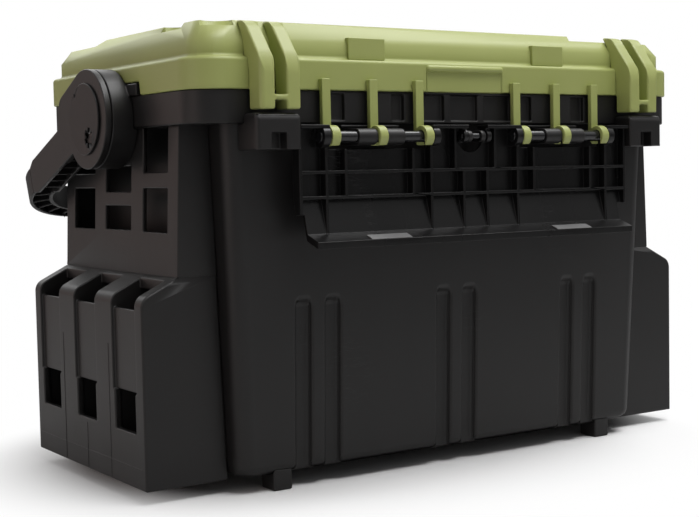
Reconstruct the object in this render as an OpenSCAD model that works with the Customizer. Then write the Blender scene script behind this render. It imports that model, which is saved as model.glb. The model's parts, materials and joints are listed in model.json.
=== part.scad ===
// Moulded tackle box: a tapered tub with rod pods and window frames at its ends, a lid that
// opens from either long side, a fold-down latch flap on each long side and a swing handle.
// X runs along the length, the flap on the -Y side hangs open, and Z is up from the feet.

/* [Tub] */
// Outer length of the tub across its floor
tub_len = 325.2; // [310:0.2:330]
// Outer depth of the tub across its floor
tub_dep = 199.8; // [190:0.2:202]
// Height of the tub from its floor's underside to its rim
tub_h = 231.7; // [225:0.1:240]
// How far each wall leans out, per millimetre of height
draft = 0.035; // [0.025:0.005:0.04]
// Thickness of the tub's walls and floor
tub_wall = 3; // [2:0.1:4]
// Radius of the tub's upright corners
tub_corner_r = 11; // [9:0.5:14]
// Radius of the edge round the tub's floor
tub_edge_r = 7; // [4:0.5:9]

/* [Flutes] */
// Width of one flute
flute_w = 10.5; // [8:0.5:12]
// Depth of a flute
flute_depth = 4; // [2:0.5:5]
// Height of a flute's top above the floor's underside
flute_h = 107; // [80:1:120]
// Distance between the two flutes of a pair
flute_gap = 21.2; // [18:0.2:26]
// Distance from one pair of flutes to the next
flute_pitch = 107; // [90:1:112]

/* [Feet] */
// Height of a foot below the tub's floor
foot_h = 10; // [6:0.5:12]
// Length of a foot
foot_len = 13; // [10:0.5:20]
// Depth of a foot, front to back
foot_dep = 16; // [10:0.5:18]
// Distance between the feet along the length
foot_pitch_x = 265; // [240:1:280]
// Distance between the feet, front to back
foot_pitch_y = 182; // [150:1:182]

/* [Rim collar] */
// How far the collar stands out of the tub's rim at each end
collar_out_x = 22.29; // [18:0.01:23]
// How far the collar stands out of the tub's rim along each long side
collar_out_y = 5.39; // [4.6:0.01:5.5]
// Height of the collar
collar_h = 19.7; // [17:0.1:21]
// Radius of the collar's corners
collar_r = 22; // [18:0.5:26]
// Thickness of the collar's walls
collar_wall = 3; // [2:0.1:3.5]
// Depth of the pockets in the collar's long sides
pocket_depth = 3.2; // [1:0.2:4]
// Height of the pockets
pocket_h = 16; // [12:0.5:16]
// Start and end of each pocket, from the middle outwards
pocket_spans = [[-11, 11], [16, 39.5], [47.5, 57], [92, 104]];

/* [Side frames] */
// Depth of the window frames and rod pods, front to back
frame_dep = 170.4; // [166:0.2:172]
// How far the frames' faces stand out of the tub at their foot
frame_foot_out = 26.31; // [24:0.01:28]
// How far the frames' faces lie behind the collar's ends at their top
frame_top_in = 3.2; // [1:0.1:4]
// Height of the frames' foot above the feet's undersides
frame_foot_z = 132.6; // [128:0.2:140]
// Thickness of the frames' walls
frame_wall = 3; // [2:0.1:4]
// Distance of an outer window column from the middle
window_pitch = 54; // [50:0.5:56]
// Width of an outer window
outer_window_w = 34; // [28:0.5:36]
// Width of a middle window
mid_window_w = 39; // [30:0.5:42]
// Bottom of the lower outer windows
outer_low_z = 158.5; // [154:0.5:160]
// Height of the lower outer windows
outer_low_h = 26.5; // [20:0.5:30]
// Bottom of the upper outer windows
outer_high_z = 194.7; // [192:0.1:200]
// Bottom of the lower middle window
mid_low_z = 159; // [154:0.5:162]
// Height of the lower middle window
mid_low_h = 15; // [10:0.5:18]
// Bottom of the upper middle window
mid_high_z = 182.8; // [180:0.1:186]
// Height of the upper middle window
mid_high_h = 16.1; // [10:0.1:17]

/* [Rod pods] */
// How far a pod's outer face stands out of the frame's foot
pod_out = 23.8; // [20:0.1:26]
// Height of the pods' undersides above the feet's undersides
pod_foot_z = 8.2; // [6:0.1:10]
// Height at which a pod's sloping top meets its outer face
pod_shoulder_z = 121; // [116:0.5:124]
// Radius of the shoulder
shoulder_r = 8; // [4:0.5:12]
// Thickness of the pods' walls
pod_wall = 3; // [2:0.1:4]
// Width of one rod channel
channel_w = 33; // [26:0.5:36]
// Distance from one channel to the next
channel_pitch = 58.5; // [54:0.5:59]
// Thickness of the wall between a channel and the tub
channel_back_t = 5.5; // [4:0.1:12]
// Height of a channel's floor
channel_floor_z = 36; // [28:0.5:38]
// Height of the outer edge of a channel's mouth
mouth_z = 114; // [104:0.5:116]
// Length of a channel's mouth from the pod's outer face inwards
mouth_len = 20; // [16:0.5:24]
// How far the panel in front of a channel lies back from the pod's face
panel_recess = 2; // [0.5:0.1:3]
// Thickness of that panel
panel_t = 2.5; // [1.5:0.1:4]
// Bottom of the window in front of a channel
slot_z = 40.7; // [39:0.1:44]
// Height of that window
slot_h = 23.9; // [16:0.1:28]
// Width of that window
slot_w = 29; // [20:0.5:31]

/* [Strap bosses] */
// Gap between a flap's end and the strap bosses
flap_gap = 0.6; // [0.4:0.1:2]
// Length of a strap boss
boss_len = 29.9; // [24:0.1:32]
// Height of a strap boss
boss_h = 21.4; // [18:0.2:24]
// Gap between a strap boss and the strap loop above it
boss_loop_gap = 2; // [1.5:0.1:4]
// Width and height of the notch in a boss
boss_notch = 10; // [6:0.5:12]
// Depth of that notch
boss_notch_depth = 8; // [6:0.1:9]

/* [Hinge rods] */
// Distance of the hinge rods in front of the collar
rod_out = 10.1; // [9.6:0.1:11]
// Distance of the hinge rods below the tub's rim
rod_drop = 28; // [26:0.5:30]
// Radius of a hinge rod
rod_r = 3.6; // [3:0.1:3.8]
// How far a hinge rod reaches past the outer sides of its knuckles
rod_over = 0.5; // [0.1:0.1:1]
// Radius of the bracket lugs that hold the rods
lug_r = 5; // [4.6:0.1:5.5]
// Width of a bracket lug
lug_w = 13.7; // [8:0.1:14]
// Gap between the two lugs of a rod, which the middle hook stands in
lug_gap = 6.7; // [6.4:0.1:8]
// How far the middle hook stands outwards of the place halfway between the other two
hook_shift = 0.25; // [0:0.05:1]
// How far the shelf above the bracket lugs reaches past them
shelf_over = 4.4; // [1:0.1:4.6]
// How far the shelf stands out of the collar's face
shelf_out = 1.6; // [1:0.1:1.7]
// Thickness of the shelf
shelf_t = 1.5; // [1:0.1:2]
// Radius of the thin rod of the middle clip
clip_rod_r = 2; // [1.5:0.1:2.4]
// Half length of the thin rod
clip_rod_half = 11.5; // [11:0.1:12]
// Start and end of the lugs that hold the thin rod
clip_lug_span = [3.5, 7];
// Radius of those lugs
clip_lug_r = 3.6; // [3:0.1:4]

/* [Latch flaps] */
// Distance of a flap's ends from the ends of the tub's floor
flap_inset = 30.6; // [30.2:0.1:34]
// Thickness of a flap's plate
flap_t = 2; // [1.6:0.1:2.4]
// Distance of the plate's back behind the hinge axis
flap_back = 6.5; // [6.1:0.1:7]
// Height of the flap's top rail above the hinge axis
rail_top = 7; // [6.6:0.1:7.2]
// Thickness of the top rail
rail_t = 2.1; // [1.4:0.1:2.3]
// How far the plate's bend lies below the hinge axis
bend_drop = 36; // [34:0.5:38]
// How far the lip's root lies below the hinge axis
lip_drop = 58.5; // [57.5:0.1:60]
// How far the lip's root stands in front of the hinge axis
lip_root = 1; // [0.5:0.1:2]
// How far the lip's edge lies below the hinge axis
lip_edge_drop = 61.7; // [61.5:0.1:63]
// Height of the lip's edge
lip_edge_h = 4.2; // [2:0.1:5]
// How far the lip stands in front of the hinge axis
lip_reach = 12.5; // [11.5:0.1:12.5]
// How far the ribs stand in front of the hinge axis
rib_reach = 1.2; // [0.5:0.1:2]
// Thickness of the ribs
rib_t = 1.8; // [1.2:0.1:2.2]
// Depth of the upper cross rib below the hinge axis
cross_rib_drop = 21; // [16:0.5:24]
// Distance of the rib above the upper cross rib from the middle
top_rib_x = 16; // [13:0.5:20]
// Distance of the rib below the upper cross rib from the middle
low_rib_x = 9.5; // [6:0.5:14]
// Distance of each rib between the knuckles from the middle
short_ribs = [49, 99];
// Width of a knuckle that turns on a hinge rod
knuckle_w = 5; // [3:0.1:6]
// Distance of the inner knuckles from the middle
knuckle_in = 31; // [28:0.1:32]
// Distance of the outer knuckles from the flap's ends
knuckle_end = 15; // [12:0.1:16]
// Outer radius of a knuckle
knuckle_r = 6.5; // [5.6:0.1:6.6]
// Start and end of the snap ring on the thin rod
ring_span = [7.6, 11];
// Outer radius of the snap ring
ring_r = 4.4; // [4:0.1:4.4]
// Width of the snap ring's mouth
ring_mouth = 3; // [2:0.1:3.4]
// Radius of the notch round the middle clip
clip_notch_r = 10.2; // [9:0.1:12]
// Height of a flap's side wall below the hinge axis
side_drop = 46; // [44:0.5:50]
// How far the flap is narrower at each end below its side walls
side_step = 5; // [2:0.5:6]
// Length of a catch strip on the lip
strip_len = 30; // [20:0.5:34]
// Distance of a catch strip from the middle
strip_x = 74; // [70:0.5:78]
// Width of a catch strip
strip_w = 6; // [3:0.5:8]
// Thickness of a catch strip
strip_t = 0.6; // [0.4:0.1:0.6]

/* [Lid] */
// How far the lid's rim stands out of the collar's ends
lid_over_x = 1; // [0.2:0.1:1.4]
// How far the lid's rim stands out of the collar's long sides
lid_over_y = 1.5; // [0.6:0.1:1.6]
// Height of the lid's rim
lid_rim_h = 18.8; // [17:0.1:20]
// Radius of the corners of the lid's rim
lid_r = 22; // [18:0.5:26]
// How far the upper tier stands back from the rim at the ends
tier_inset_x = 6; // [5:0.1:8]
// How far the upper tier stands back from the rim along the long sides
tier_inset_y = 5.4; // [5:0.1:6]
// Height of the tier's wall above the rim
tier_wall_h = 10; // [8:0.1:11]
// Height of the slope from the tier's wall to its top
slope_h = 11.8; // [8:0.1:12]
// How far that slope leans in
slope_run = 8; // [6:0.1:10]
// Thickness of the lid
lid_wall = 3; // [2:0.1:3.2]
// Depth of the two low corners of the lid's top
low_corner_drop = 3.3; // [1:0.1:5]
// Distance from the middle to where the low corners start, along the length
low_corner_x = 100; // [80:1:130]
// Distance from the middle to where the low corners start, front to back
low_corner_y = 36; // [30:1:60]
// Length of the ramp down to a low corner, front to back
low_corner_ramp = 14; // [4:1:20]
// Radius of the scoops in the top's end edges
scoop_r = 13.5; // [8:0.5:14]
// Depth of the scoops
scoop_depth = 3.4; // [1:0.1:4]
// Distance of the end scoops from the middle, front to back
scoop_y = 63; // [54:1:70]
// Radius of the scoops at the top's corners
corner_scoop_r = 10; // [6:0.5:12]
// Distance of the corner scoops from the middle, along the length
corner_scoop_x = 171.5; // [160:0.5:176]
// Half width of the notch round each handle drum, at the lid's edge
notch_half = 43; // [42:0.5:46]
// Height of that notch
notch_h = 8.3; // [7:0.1:9]
// Half length of the panel and ridge in the middle of each long side
ridge_half = 30.5; // [24:0.5:34]
// Height of the ridge above the lid's edge
ridge_z = 13.9; // [12:0.1:15]
// Height of the ridge itself
ridge_h = 2.2; // [1.5:0.1:3]
// How far the ridge stands out of the rim
ridge_out = 1.6; // [0.5:0.1:2.4]
// Depth of the panel below the ridge
ridge_panel_depth = 0.8; // [0.4:0.1:1.2]

/* [Lid hooks and tabs] */
// Gap between a lid hook and the knuckle beside it
hook_side_gap = 0.5; // [0.3:0.1:1]
// Thickness of a lid hook along the length
hook_t = 6; // [5:0.1:6]
// Outer radius of a hook's ring
hook_r = 6.8; // [6:0.1:6.8]
// Thickness of a hook's finger
finger_t = 3.4; // [2.6:0.1:3.4]
// Gap between a hook's finger and the collar behind it
finger_gap = 2.4; // [2:0.1:2.5]
// Height of a finger's top above the lid's edge
finger_top = 6.7; // [5:0.1:7]
// Gap between a hook and its rod
hook_gap = 0.3; // [0.25:0.05:0.4]
// Length of a catch tab on the lid
tab_len = 27; // [20:0.5:30]
// Distance of a catch tab from the middle
tab_x = 73.5; // [70:0.5:78]
// Top of a catch tab above the lid's rim
tab_h = 13.6; // [12:0.1:13.7]
// How far a catch tab stands out of the tier's wall
tab_out = 2; // [1.5:0.1:2.1]

/* [Strap loops] */
// Thickness of the inner rib of a strap loop
inner_rib_t = 9.1; // [6:0.1:10]
// Gap between the two ribs
rib_gap = 7.9; // [7:0.1:10]
// Thickness of the outer rib
outer_rib_t = 9.6; // [6:0.1:11]
// How far the strap loops and bosses stand out of the collar
loop_out = 16.1; // [15:0.1:17]
// Height at which a loop's rib starts to slope, above the lid's edge
loop_slope_z = 16.3; // [12:0.1:20]
// How far a loop reaches below the lid's edge
loop_drop = 12.1; // [10:0.1:13]
// Gap between a loop and the collar behind it
loop_gap = 2.2; // [1.8:0.1:3]
// Height of the crossbar below the lid's edge
bar_drop = 6.7; // [5:0.1:8]
// Thickness of the crossbar
bar_t = 3; // [2:0.1:4]

/* [Handle] */
// Distance of the handle's pivot below the tub's rim
pivot_drop = 13; // [12.5:0.1:14]
// Angle of the stowed handle below the horizontal
stow_angle = 21.4; // [18:0.2:22]
// Distance from the pivot to the handle's outer edge
handle_reach = 158; // [156:0.5:162]
// Thickness of the handle's arms and grip across the handle's frame
grip_w = 16; // [12:0.1:16]
// Height of the grip's section above its middle plane
grip_up = 9.6; // [6:0.1:10]
// Height of the grip's section below its middle plane
grip_down = 8.4; // [6:0.1:10]
// Height of an arm above the handle's middle plane
arm_up = 12.6; // [8:0.1:14]
// Height of an arm below the handle's middle plane
arm_down = 11; // [8:0.1:12]
// Length over which an arm gets lower towards the corner
arm_taper = 7; // [4:0.5:12]
// Distance from the pivot to the middle of a disc's round shoulder
flare_u = 30; // [26:0.5:32]
// Height of the middle of that shoulder
flare_w = 19; // [16:0.5:20]
// Radius of the shoulder
flare_r = 10.5; // [8:0.5:12]
// Distance from the pivot to where the shoulder meets the arm
flare_foot = 46.3; // [44:0.1:50]
// Outer radius of the handle's corners
handle_corner_r = 53; // [45:1:56]
// Thickness of the handle's two side walls
grip_wall = 2.5; // [1.5:0.1:3.5]
// Thickness of the handle's back
grip_back_t = 3; // [2:0.1:5]
// Distance between the ladder ribs
ladder_pitch = 11.5; // [9:0.5:16]
// Thickness of a ladder rib
ladder_t = 2; // [1.2:0.1:3]
// How far the ladder ribs lie back from the open side
ladder_recess = 1; // [0.2:0.1:3]
// Radius of the drums and of the handle's discs
drum_r = 31.3; // [28:0.1:31.5]
// Gap between the handle's arms and the drums, round the pivot
arm_gap = 2.2; // [1:0.1:4]
// Width of a drum, from the lid's end outwards
drum_w = 12.7; // [10:0.1:14]
// Thickness of a handle disc
disc_t = 4.2; // [3.8:0.1:6]
// Gap between a drum and the lid's end, and between a drum and its disc
drum_gap = 0.4; // [0.3:0.05:0.5]
// Radius of a pivot pin
pin_r = 6; // [4:0.1:7]
// Gap between a pivot pin and the bore in its disc
pin_gap = 0.07; // [0.05:0.01:0.09]
// Radius of a pivot pin's head
pin_head_r = 10; // [8:0.1:12]
// Thickness of a pivot pin's head
pin_head_t = 1.8; // [1.2:0.1:2.2]
// Radius of a pivot cover
cover_r = 22.5; // [20:0.5:26]
// Thickness of a pivot cover
cover_t = 1.5; // [0.8:0.1:1.8]
// Size of the star-shaped hole in a cover
star_size = 13; // [8:0.5:14]
// Distance of the star-shaped hole from the pivot
star_reach = 13.6; // [12:0.1:15]
// Radius of the small pit near a cover's edge
pit_r = 1.2; // [0.8:0.1:1.5]
// Distance of the pit from the pivot
pit_reach = 19; // [17:0.5:20.5]
// Half width of the guard on the collar's end, under the lid's notch
guard_half = 39; // [36:0.5:40]

/* [Fits] */
// Gap between fixed pieces that seat on each other
seat = 0.05; // [0.02:0.01:0.1]
// Running gap between a flap's knuckle and its rod
run_gap = 0.06; // [0.04:0.01:0.09]
// Gap between the lid's edge and the rim it rests on
rest_gap = 0.05; // [0.02:0.01:0.2]
// Distance of the model's origin behind the middle of the tub
origin_back = 7.1; // [6:0.1:8]

/* [Hidden] */
$fn = 64;
eps = 0.01;
over = 1;
black = "#262627";
dark = "#1c1c1d";
olive = "#a9b07a";

// Half length and half depth of the tub's outside at height z
function half_x(z) = tub_len / 2 + draft * (z - foot_h);
function half_y(z) = tub_dep / 2 + draft * (z - foot_h);

rim_z = foot_h + tub_h;
collar_z = rim_z - collar_h;
collar_len = 2 * (half_x(rim_z) + collar_out_x);
collar_dep = 2 * (half_y(rim_z) + collar_out_y);
lid_len = collar_len + 2 * lid_over_x;
lid_dep = collar_dep + 2 * lid_over_y;
frame_foot_x = half_x(frame_foot_z) + frame_foot_out;
frame_top_x = collar_len / 2 - frame_top_in;
pod_face = frame_foot_x + pod_out;
channel_back = half_x(pod_shoulder_z) + channel_back_t;
flap_len = tub_len - 2 * flap_inset;
boss_from = flap_len / 2 + flap_gap;
loop_y = collar_dep / 2 + loop_out;
loop_ribs = [
  [boss_from, boss_from + inner_rib_t],
  [boss_from + inner_rib_t + rib_gap, boss_from + inner_rib_t + rib_gap + outer_rib_t]
];
rod_y = collar_dep / 2 + rod_out;
rod_z = rim_z - rod_drop;
knuckle_out = flap_len / 2 - knuckle_end;
knuckle_spans = [[knuckle_in, knuckle_in + knuckle_w], [knuckle_out - knuckle_w, knuckle_out]];
hook_room = hook_t / 2 + hook_side_gap;
first_hook_x = knuckle_in + knuckle_w + hook_room;
last_hook_x = knuckle_out - knuckle_w - hook_room;
lug_x = (first_hook_x + last_hook_x) / 2 + hook_shift;
hook_x = [first_hook_x, lug_x, last_hook_x];
lug_spans = [
  [lug_x - lug_gap / 2 - lug_w, lug_x - lug_gap / 2],
  [lug_x + lug_gap / 2, lug_x + lug_gap / 2 + lug_w]
];
pivot_z = rim_z - pivot_drop;
lid_z = rim_z + rest_gap;
tier_z = lid_z + lid_rim_h;
lid_top_z = tier_z + tier_wall_h + slope_h;
loop_foot_z = lid_z - loop_drop;
boss_z = loop_foot_z - boss_loop_gap - boss_h;
drum_back = lid_len / 2 + drum_gap;
drum_face = drum_back + drum_w;
disc_back = drum_face + drum_gap;
disc_face = disc_back + disc_t;
grip_half = disc_face - handle_corner_r;
arm_end = handle_reach - handle_corner_r;
arm_start = drum_r + arm_gap;
closed_turn = 180;

// Distance of a side frame's face from the middle at height z
function frame_x(z) = frame_foot_x
  + (frame_top_x - frame_foot_x) * (z - frame_foot_z) / (collar_z - frame_foot_z);
// Points of an arc about a centre
function arc(centre, r, from, to, steps = 8) =
  [for (i = [0 : steps]) let (a = from + (to - from) * i / steps) centre + r * [cos(a), sin(a)]];

// Moves the box so that its origin lies under the middle of its overall size
module placed() translate([0, -origin_back, 0]) children();

// An outline in Y and Z, carried along X from one distance to another
module along_x(from, to) translate([from, 0, 0]) rotate([90, 0, 90]) linear_extrude(to - from) children();

// An outline in X and Z, carried along Y over a centred length
module along_y(len) rotate([90, 0, 0]) linear_extrude(len, center = true) children();

// A round bar along X from one distance to another
module bar_x(from, to, r) translate([from, 0, 0]) rotate([0, 90, 0]) cylinder(h = to - from, r = r);

// The same shape on both sides of the middle of the length
module both_sides() {
  children();
  mirror([1, 0, 0]) children();
}

// A rectangle with round corners
module rounded_rect(len, dep, r) {
  square([len - 2 * r, dep], center = true);
  square([len, dep - 2 * r], center = true);
  for (x = [-1, 1], y = [-1, 1])
    translate([x * (len / 2 - r), y * (dep / 2 - r)]) circle(r = r);
}

// A thin level plate of the tub's plan, drawn in by inset
module tub_plate(z, inset) translate([0, 0, z]) linear_extrude(eps)
  rounded_rect(2 * (half_x(z) - inset), 2 * (half_y(z) - inset), tub_corner_r, $fn = 32);

// The tub's outline, drawn in by inset all round and raised from the floor by it
module tub_form(inset, top) hull() {
  for (a = [0 : 30 : 90])
    tub_plate(foot_h + inset + tub_edge_r * (1 - sin(a)), inset + tub_edge_r * (1 - cos(a)));
  tub_plate(top - eps, inset);
}

// One flute in a long wall, grown by grow, with a top that slopes to the wall
module flute(x, grow) {
  deep = flute_depth + grow;
  top = foot_h + flute_h + grow;
  along_x(x - flute_w / 2 - grow, x + flute_w / 2 + grow) polygon([
    [-half_y(foot_h) - over, foot_h - over],
    [-half_y(foot_h) + deep, foot_h - over],
    [-half_y(top) + deep, top - deep],
    [-half_y(top) - over, top + over]
  ]);
}

module flutes(grow)
  for (pair = [-1 : 1], side = [-1, 1], turn = [0, 180])
    rotate([0, 0, turn]) flute(pair * flute_pitch + side * flute_gap / 2, grow);

module tub() color(black) placed() {
  difference() {
    tub_form(0, rim_z);
    flutes(0);
    difference() {
      tub_form(tub_wall, rim_z + over);
      flutes(tub_wall);
    }
  }
}

module feet() color(black) placed() difference() {
  for (x = [-1, 1], y = [-1, 1])
    translate([x * foot_pitch_x / 2, y * foot_pitch_y / 2, (foot_h + tub_edge_r / 2) / 2])
      cube([foot_len, foot_dep, foot_h + tub_edge_r / 2], center = true);
  tub_form(-seat, foot_h + 2 * tub_edge_r);
}

module rim_collar() color(black) placed() difference() {
  translate([0, 0, collar_z]) linear_extrude(collar_h) difference() {
    rounded_rect(collar_len, collar_dep, collar_r);
    rounded_rect(2 * (half_x(rim_z) + seat), 2 * (half_y(rim_z) + seat), tub_corner_r + seat);
  }
  translate([0, 0, collar_z + collar_wall]) linear_extrude(collar_h) difference() {
    rounded_rect(collar_len - 2 * collar_wall, collar_dep - 2 * collar_wall, collar_r - collar_wall);
    rounded_rect(2 * (half_x(rim_z) + collar_wall), 2 * (half_y(rim_z) + collar_wall), tub_corner_r);
  }
  for (turn = [0, 180]) rotate([0, 0, turn]) both_sides() for (span = pocket_spans)
    translate([span[0], -collar_dep / 2 - over, collar_z + (collar_h - pocket_h) / 2])
      cube([span[1] - span[0], pocket_depth + over, pocket_h]);
  both_sides() translate([0, 0, pivot_z])
    bar_x(collar_len / 2 - 2 * collar_wall, collar_len / 2 + over, pin_r + seat);
}

// A side frame's outline in X and Z, drawn in by inset at its face
module frame_outline(inset) polygon([
  [half_x(frame_foot_z) + seat, frame_foot_z + seat],
  [frame_x(frame_foot_z) - inset, frame_foot_z + seat],
  [frame_x(collar_z) - inset, collar_z - seat],
  [half_x(collar_z) + seat, collar_z - seat]
]);

// One window through a side frame's face
module frame_window(y, z, w, h)
  translate([tub_len / 2 + 2 * frame_wall, y - w / 2, z]) cube([pod_face, w, h]);

module side_frame() difference() {
  along_y(frame_dep) frame_outline(0);
  along_y(frame_dep - 2 * frame_wall) translate([-over, 0]) frame_outline(frame_wall - over);
  for (side = [-1, 1]) {
    frame_window(side * window_pitch, outer_low_z, outer_window_w, outer_low_h);
    frame_window(side * window_pitch, outer_high_z, outer_window_w, collar_z - outer_high_z);
  }
  frame_window(0, mid_low_z, mid_window_w, mid_low_h);
  frame_window(0, mid_high_z, mid_window_w, mid_high_h);
}

module side_frame_right() color(black) placed() side_frame();
module side_frame_left() color(black) placed() mirror([1, 0, 0]) side_frame();

// A rod pod's outline in X and Z, with its round shoulder
module pod_outline() {
  slope = atan((frame_foot_z - pod_shoulder_z) / pod_out);
  reach = shoulder_r * tan((90 - slope) / 2);
  centre = [pod_face - shoulder_r, pod_shoulder_z - reach];
  polygon(concat(
    [[half_x(pod_foot_z) + seat, pod_foot_z], [pod_face, pod_foot_z]],
    arc(centre, shoulder_r, 0, 90 - slope),
    [[frame_foot_x, frame_foot_z], [half_x(frame_foot_z) + seat, frame_foot_z]]
  ));
}

// What one channel takes out of a pod: its shaft, its mouth, its panel's recess and its window
module channel() {
  shaft_face = pod_face - panel_recess - panel_t;
  shaft_top = pod_shoulder_z + pod_wall;
  translate([channel_back, -channel_w / 2, channel_floor_z])
    cube([shaft_face - channel_back, channel_w, shaft_top - channel_floor_z]);
  translate([pod_face - mouth_len, -channel_w / 2, mouth_z])
    cube([mouth_len + over, channel_w, frame_foot_z]);
  translate([pod_face - panel_recess, -channel_w / 2, slot_z + slot_h])
    cube([panel_recess + over, channel_w, mouth_z - slot_z - slot_h + over]);
  translate([shaft_face - over, -slot_w / 2, slot_z])
    cube([panel_recess + panel_t + 2 * over, slot_w, slot_h]);
}

module rod_pod() {
  pier_w = channel_pitch - channel_w - 2 * pod_wall;
  hollow = pod_face - channel_back - pod_wall;
  difference() {
    along_y(frame_dep) pod_outline();
    for (i = [-1 : 1]) translate([0, i * channel_pitch, 0]) channel();
    translate([channel_back, -frame_dep / 2 + pod_wall, pod_foot_z - over])
      cube([hollow, frame_dep - 2 * pod_wall, channel_floor_z - pod_foot_z - pod_wall + over]);
    for (side = [-1, 1])
      translate([channel_back, side * channel_pitch / 2 - pier_w / 2, pod_foot_z - over])
        cube([hollow, pier_w, mouth_z - pod_foot_z]);
  }
}

module rod_pod_right() color(black) placed() rod_pod();
module rod_pod_left() color(black) placed() mirror([1, 0, 0]) rod_pod();

// The two strap bosses of the front
module strap_bosses() {
  top = boss_z + boss_h;
  front = loop_y - tub_edge_r / 3;
  both_sides() difference() {
    along_x(boss_from, boss_from + boss_len) polygon([
      [-half_y(boss_z) - seat, boss_z],
      [-loop_y, boss_z],
      [-loop_y, top - (loop_y - front)],
      [-front, top],
      [-collar_dep / 2 - seat, top],
      [-collar_dep / 2 - seat, collar_z - seat],
      [-half_y(collar_z) - seat, collar_z - seat]
    ]);
    translate([boss_from + boss_len / 2 - boss_notch / 2, -loop_y - over, boss_z - over])
      cube([boss_notch, boss_notch_depth + over, boss_notch + over]);
  }
}

module front_strap_bosses() color(black) placed() strap_bosses();
module rear_strap_bosses() color(black) placed() mirror([0, 1, 0]) strap_bosses();

// A lug with its web, from the tub's wall to a rod on the hinge axis
module lug(span, r, bore) difference() {
  along_x(span[0], span[1]) {
    translate([-rod_y, rod_z]) circle(r = r);
    polygon([
      [-half_y(rod_z - r) - seat, rod_z - r],
      [-rod_y, rod_z - r],
      [-rod_y, rod_z + r],
      [-half_y(rod_z + r) - seat, rod_z + r]
    ]);
  }
  translate([0, -rod_y, rod_z]) bar_x(span[0] - over, span[1] + over, bore);
}

module hinge_brackets() both_sides() {
  for (span = lug_spans) lug(span, lug_r, rod_r + seat);
  lug(clip_lug_span, clip_lug_r, clip_rod_r + seat);
  along_x(lug_spans[0][0] - shelf_over, lug_spans[1][1] + shelf_over) polygon([
    [-half_y(rod_z + lug_r) - seat, rod_z + lug_r - over],
    [-collar_dep / 2, rod_z + lug_r],
    [-collar_dep / 2 - shelf_out, collar_z - shelf_t - over],
    [-collar_dep / 2 - shelf_out, collar_z - over],
    [-half_y(collar_z) - seat, collar_z - over]
  ]);
}

module front_hinge_brackets() color(black) placed() hinge_brackets();
module rear_hinge_brackets() color(black) placed() mirror([0, 1, 0]) hinge_brackets();

module hinge_rod() translate([0, -rod_y, rod_z])
  bar_x(knuckle_in - rod_over, knuckle_out + rod_over, rod_r);

module front_rod_right() color(dark) placed() hinge_rod();
module front_rod_left() color(dark) placed() mirror([1, 0, 0]) hinge_rod();
module rear_rod_right() color(dark) placed() mirror([0, 1, 0]) hinge_rod();
module rear_rod_left() color(dark) placed() rotate([0, 0, 180]) hinge_rod();

module clip_rod() translate([0, -rod_y, rod_z]) bar_x(-clip_rod_half, clip_rod_half, clip_rod_r);

module front_clip_rod() color(dark) placed() clip_rod();
module rear_clip_rod() color(dark) placed() mirror([0, 1, 0]) clip_rod();

// A drum on the end of the collar, with its saddle and the guard under the lid's notch
module handle_drum() {
  foot = pivot_z - drum_r;
  difference() {
    union() {
      translate([0, 0, pivot_z]) bar_x(drum_back, drum_face, drum_r);
      intersection() {
        translate([0, 0, pivot_z]) bar_x(frame_x(collar_z) - over, drum_back + eps, drum_r);
        along_y(2 * drum_r) polygon([
          [frame_x(foot) + seat, foot],
          [drum_back + over, foot],
          [drum_back + over, rim_z - seat],
          [collar_len / 2 + seat, rim_z - seat],
          [collar_len / 2 + seat, collar_z - seat],
          [frame_x(collar_z) + seat, collar_z - seat]
        ]);
      }
      translate([collar_len / 2 - collar_wall, -guard_half, rim_z + seat])
        cube([lid_over_x + 2 * drum_gap + collar_wall, 2 * guard_half, notch_h - 2 * drum_gap]);
    }
    translate([0, 0, pivot_z]) bar_x(tub_len / 2, drum_face + over, pin_r + seat);
  }
}

module handle_drum_right() color(black) placed() handle_drum();
module handle_drum_left() color(black) placed() mirror([1, 0, 0]) handle_drum();

module pivot_pin() translate([0, 0, pivot_z]) {
  bar_x(collar_len / 2 - collar_wall - seat, disc_face - pin_head_t, pin_r);
  bar_x(disc_face - pin_head_t - drum_gap, disc_face - drum_gap, pin_head_r);
}

module pivot_pin_right() color(dark) placed() pivot_pin();
module pivot_pin_left() color(dark) placed() mirror([1, 0, 0]) pivot_pin();

// Middle of the flap's lower plate, front to back, at a depth below the hinge axis
function plate_y(depth) = flap_back - flap_t / 2
  - (flap_back - flap_t / 2 + lip_root) * (depth - bend_drop) / (lip_drop - bend_drop);

// The side outline of a flap's plate and lip, about the hinge axis
module flap_side_outline() polygon([
  [flap_back, rail_top],
  [flap_back - flap_t, rail_top],
  [flap_back - flap_t, flap_t / 4 - bend_drop],
  [-lip_root, flap_t / 2 - lip_drop],
  [-lip_reach, -lip_edge_drop],
  [-lip_reach, -lip_edge_drop - lip_edge_h],
  [flap_t / 2 - lip_root, -lip_drop - 3 * flap_t / 2],
  [flap_back, -bend_drop - flap_t / 2]
]);

// The side outline of an upright rib, from its top to a depth below the plate's bend
module flap_rib_outline(top, depth) polygon([
  [flap_back - flap_t / 2, top],
  [-rib_reach, top],
  [-rib_reach, -depth],
  [plate_y(depth), -depth],
  [flap_back - flap_t / 2, -bend_drop]
]);

// One upright rib of a flap, centred on x, down to the lip or to a depth above the bend
module full_rib(x, top) along_x(x - rib_t / 2, x + rib_t / 2) flap_rib_outline(top, lip_drop);
module short_rib(x, top, depth) along_x(x - rib_t / 2, x + rib_t / 2)
  translate([-rib_reach, -depth]) square([rib_reach + flap_back - flap_t / 2, top + depth]);

// A knuckle with its web, on the hinge axis
module knuckle(span) {
  bar_x(span[0], span[1], knuckle_r);
  along_x(span[0], span[1]) translate([0, -knuckle_r]) square([flap_back - flap_t / 2, knuckle_r]);
}

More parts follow.
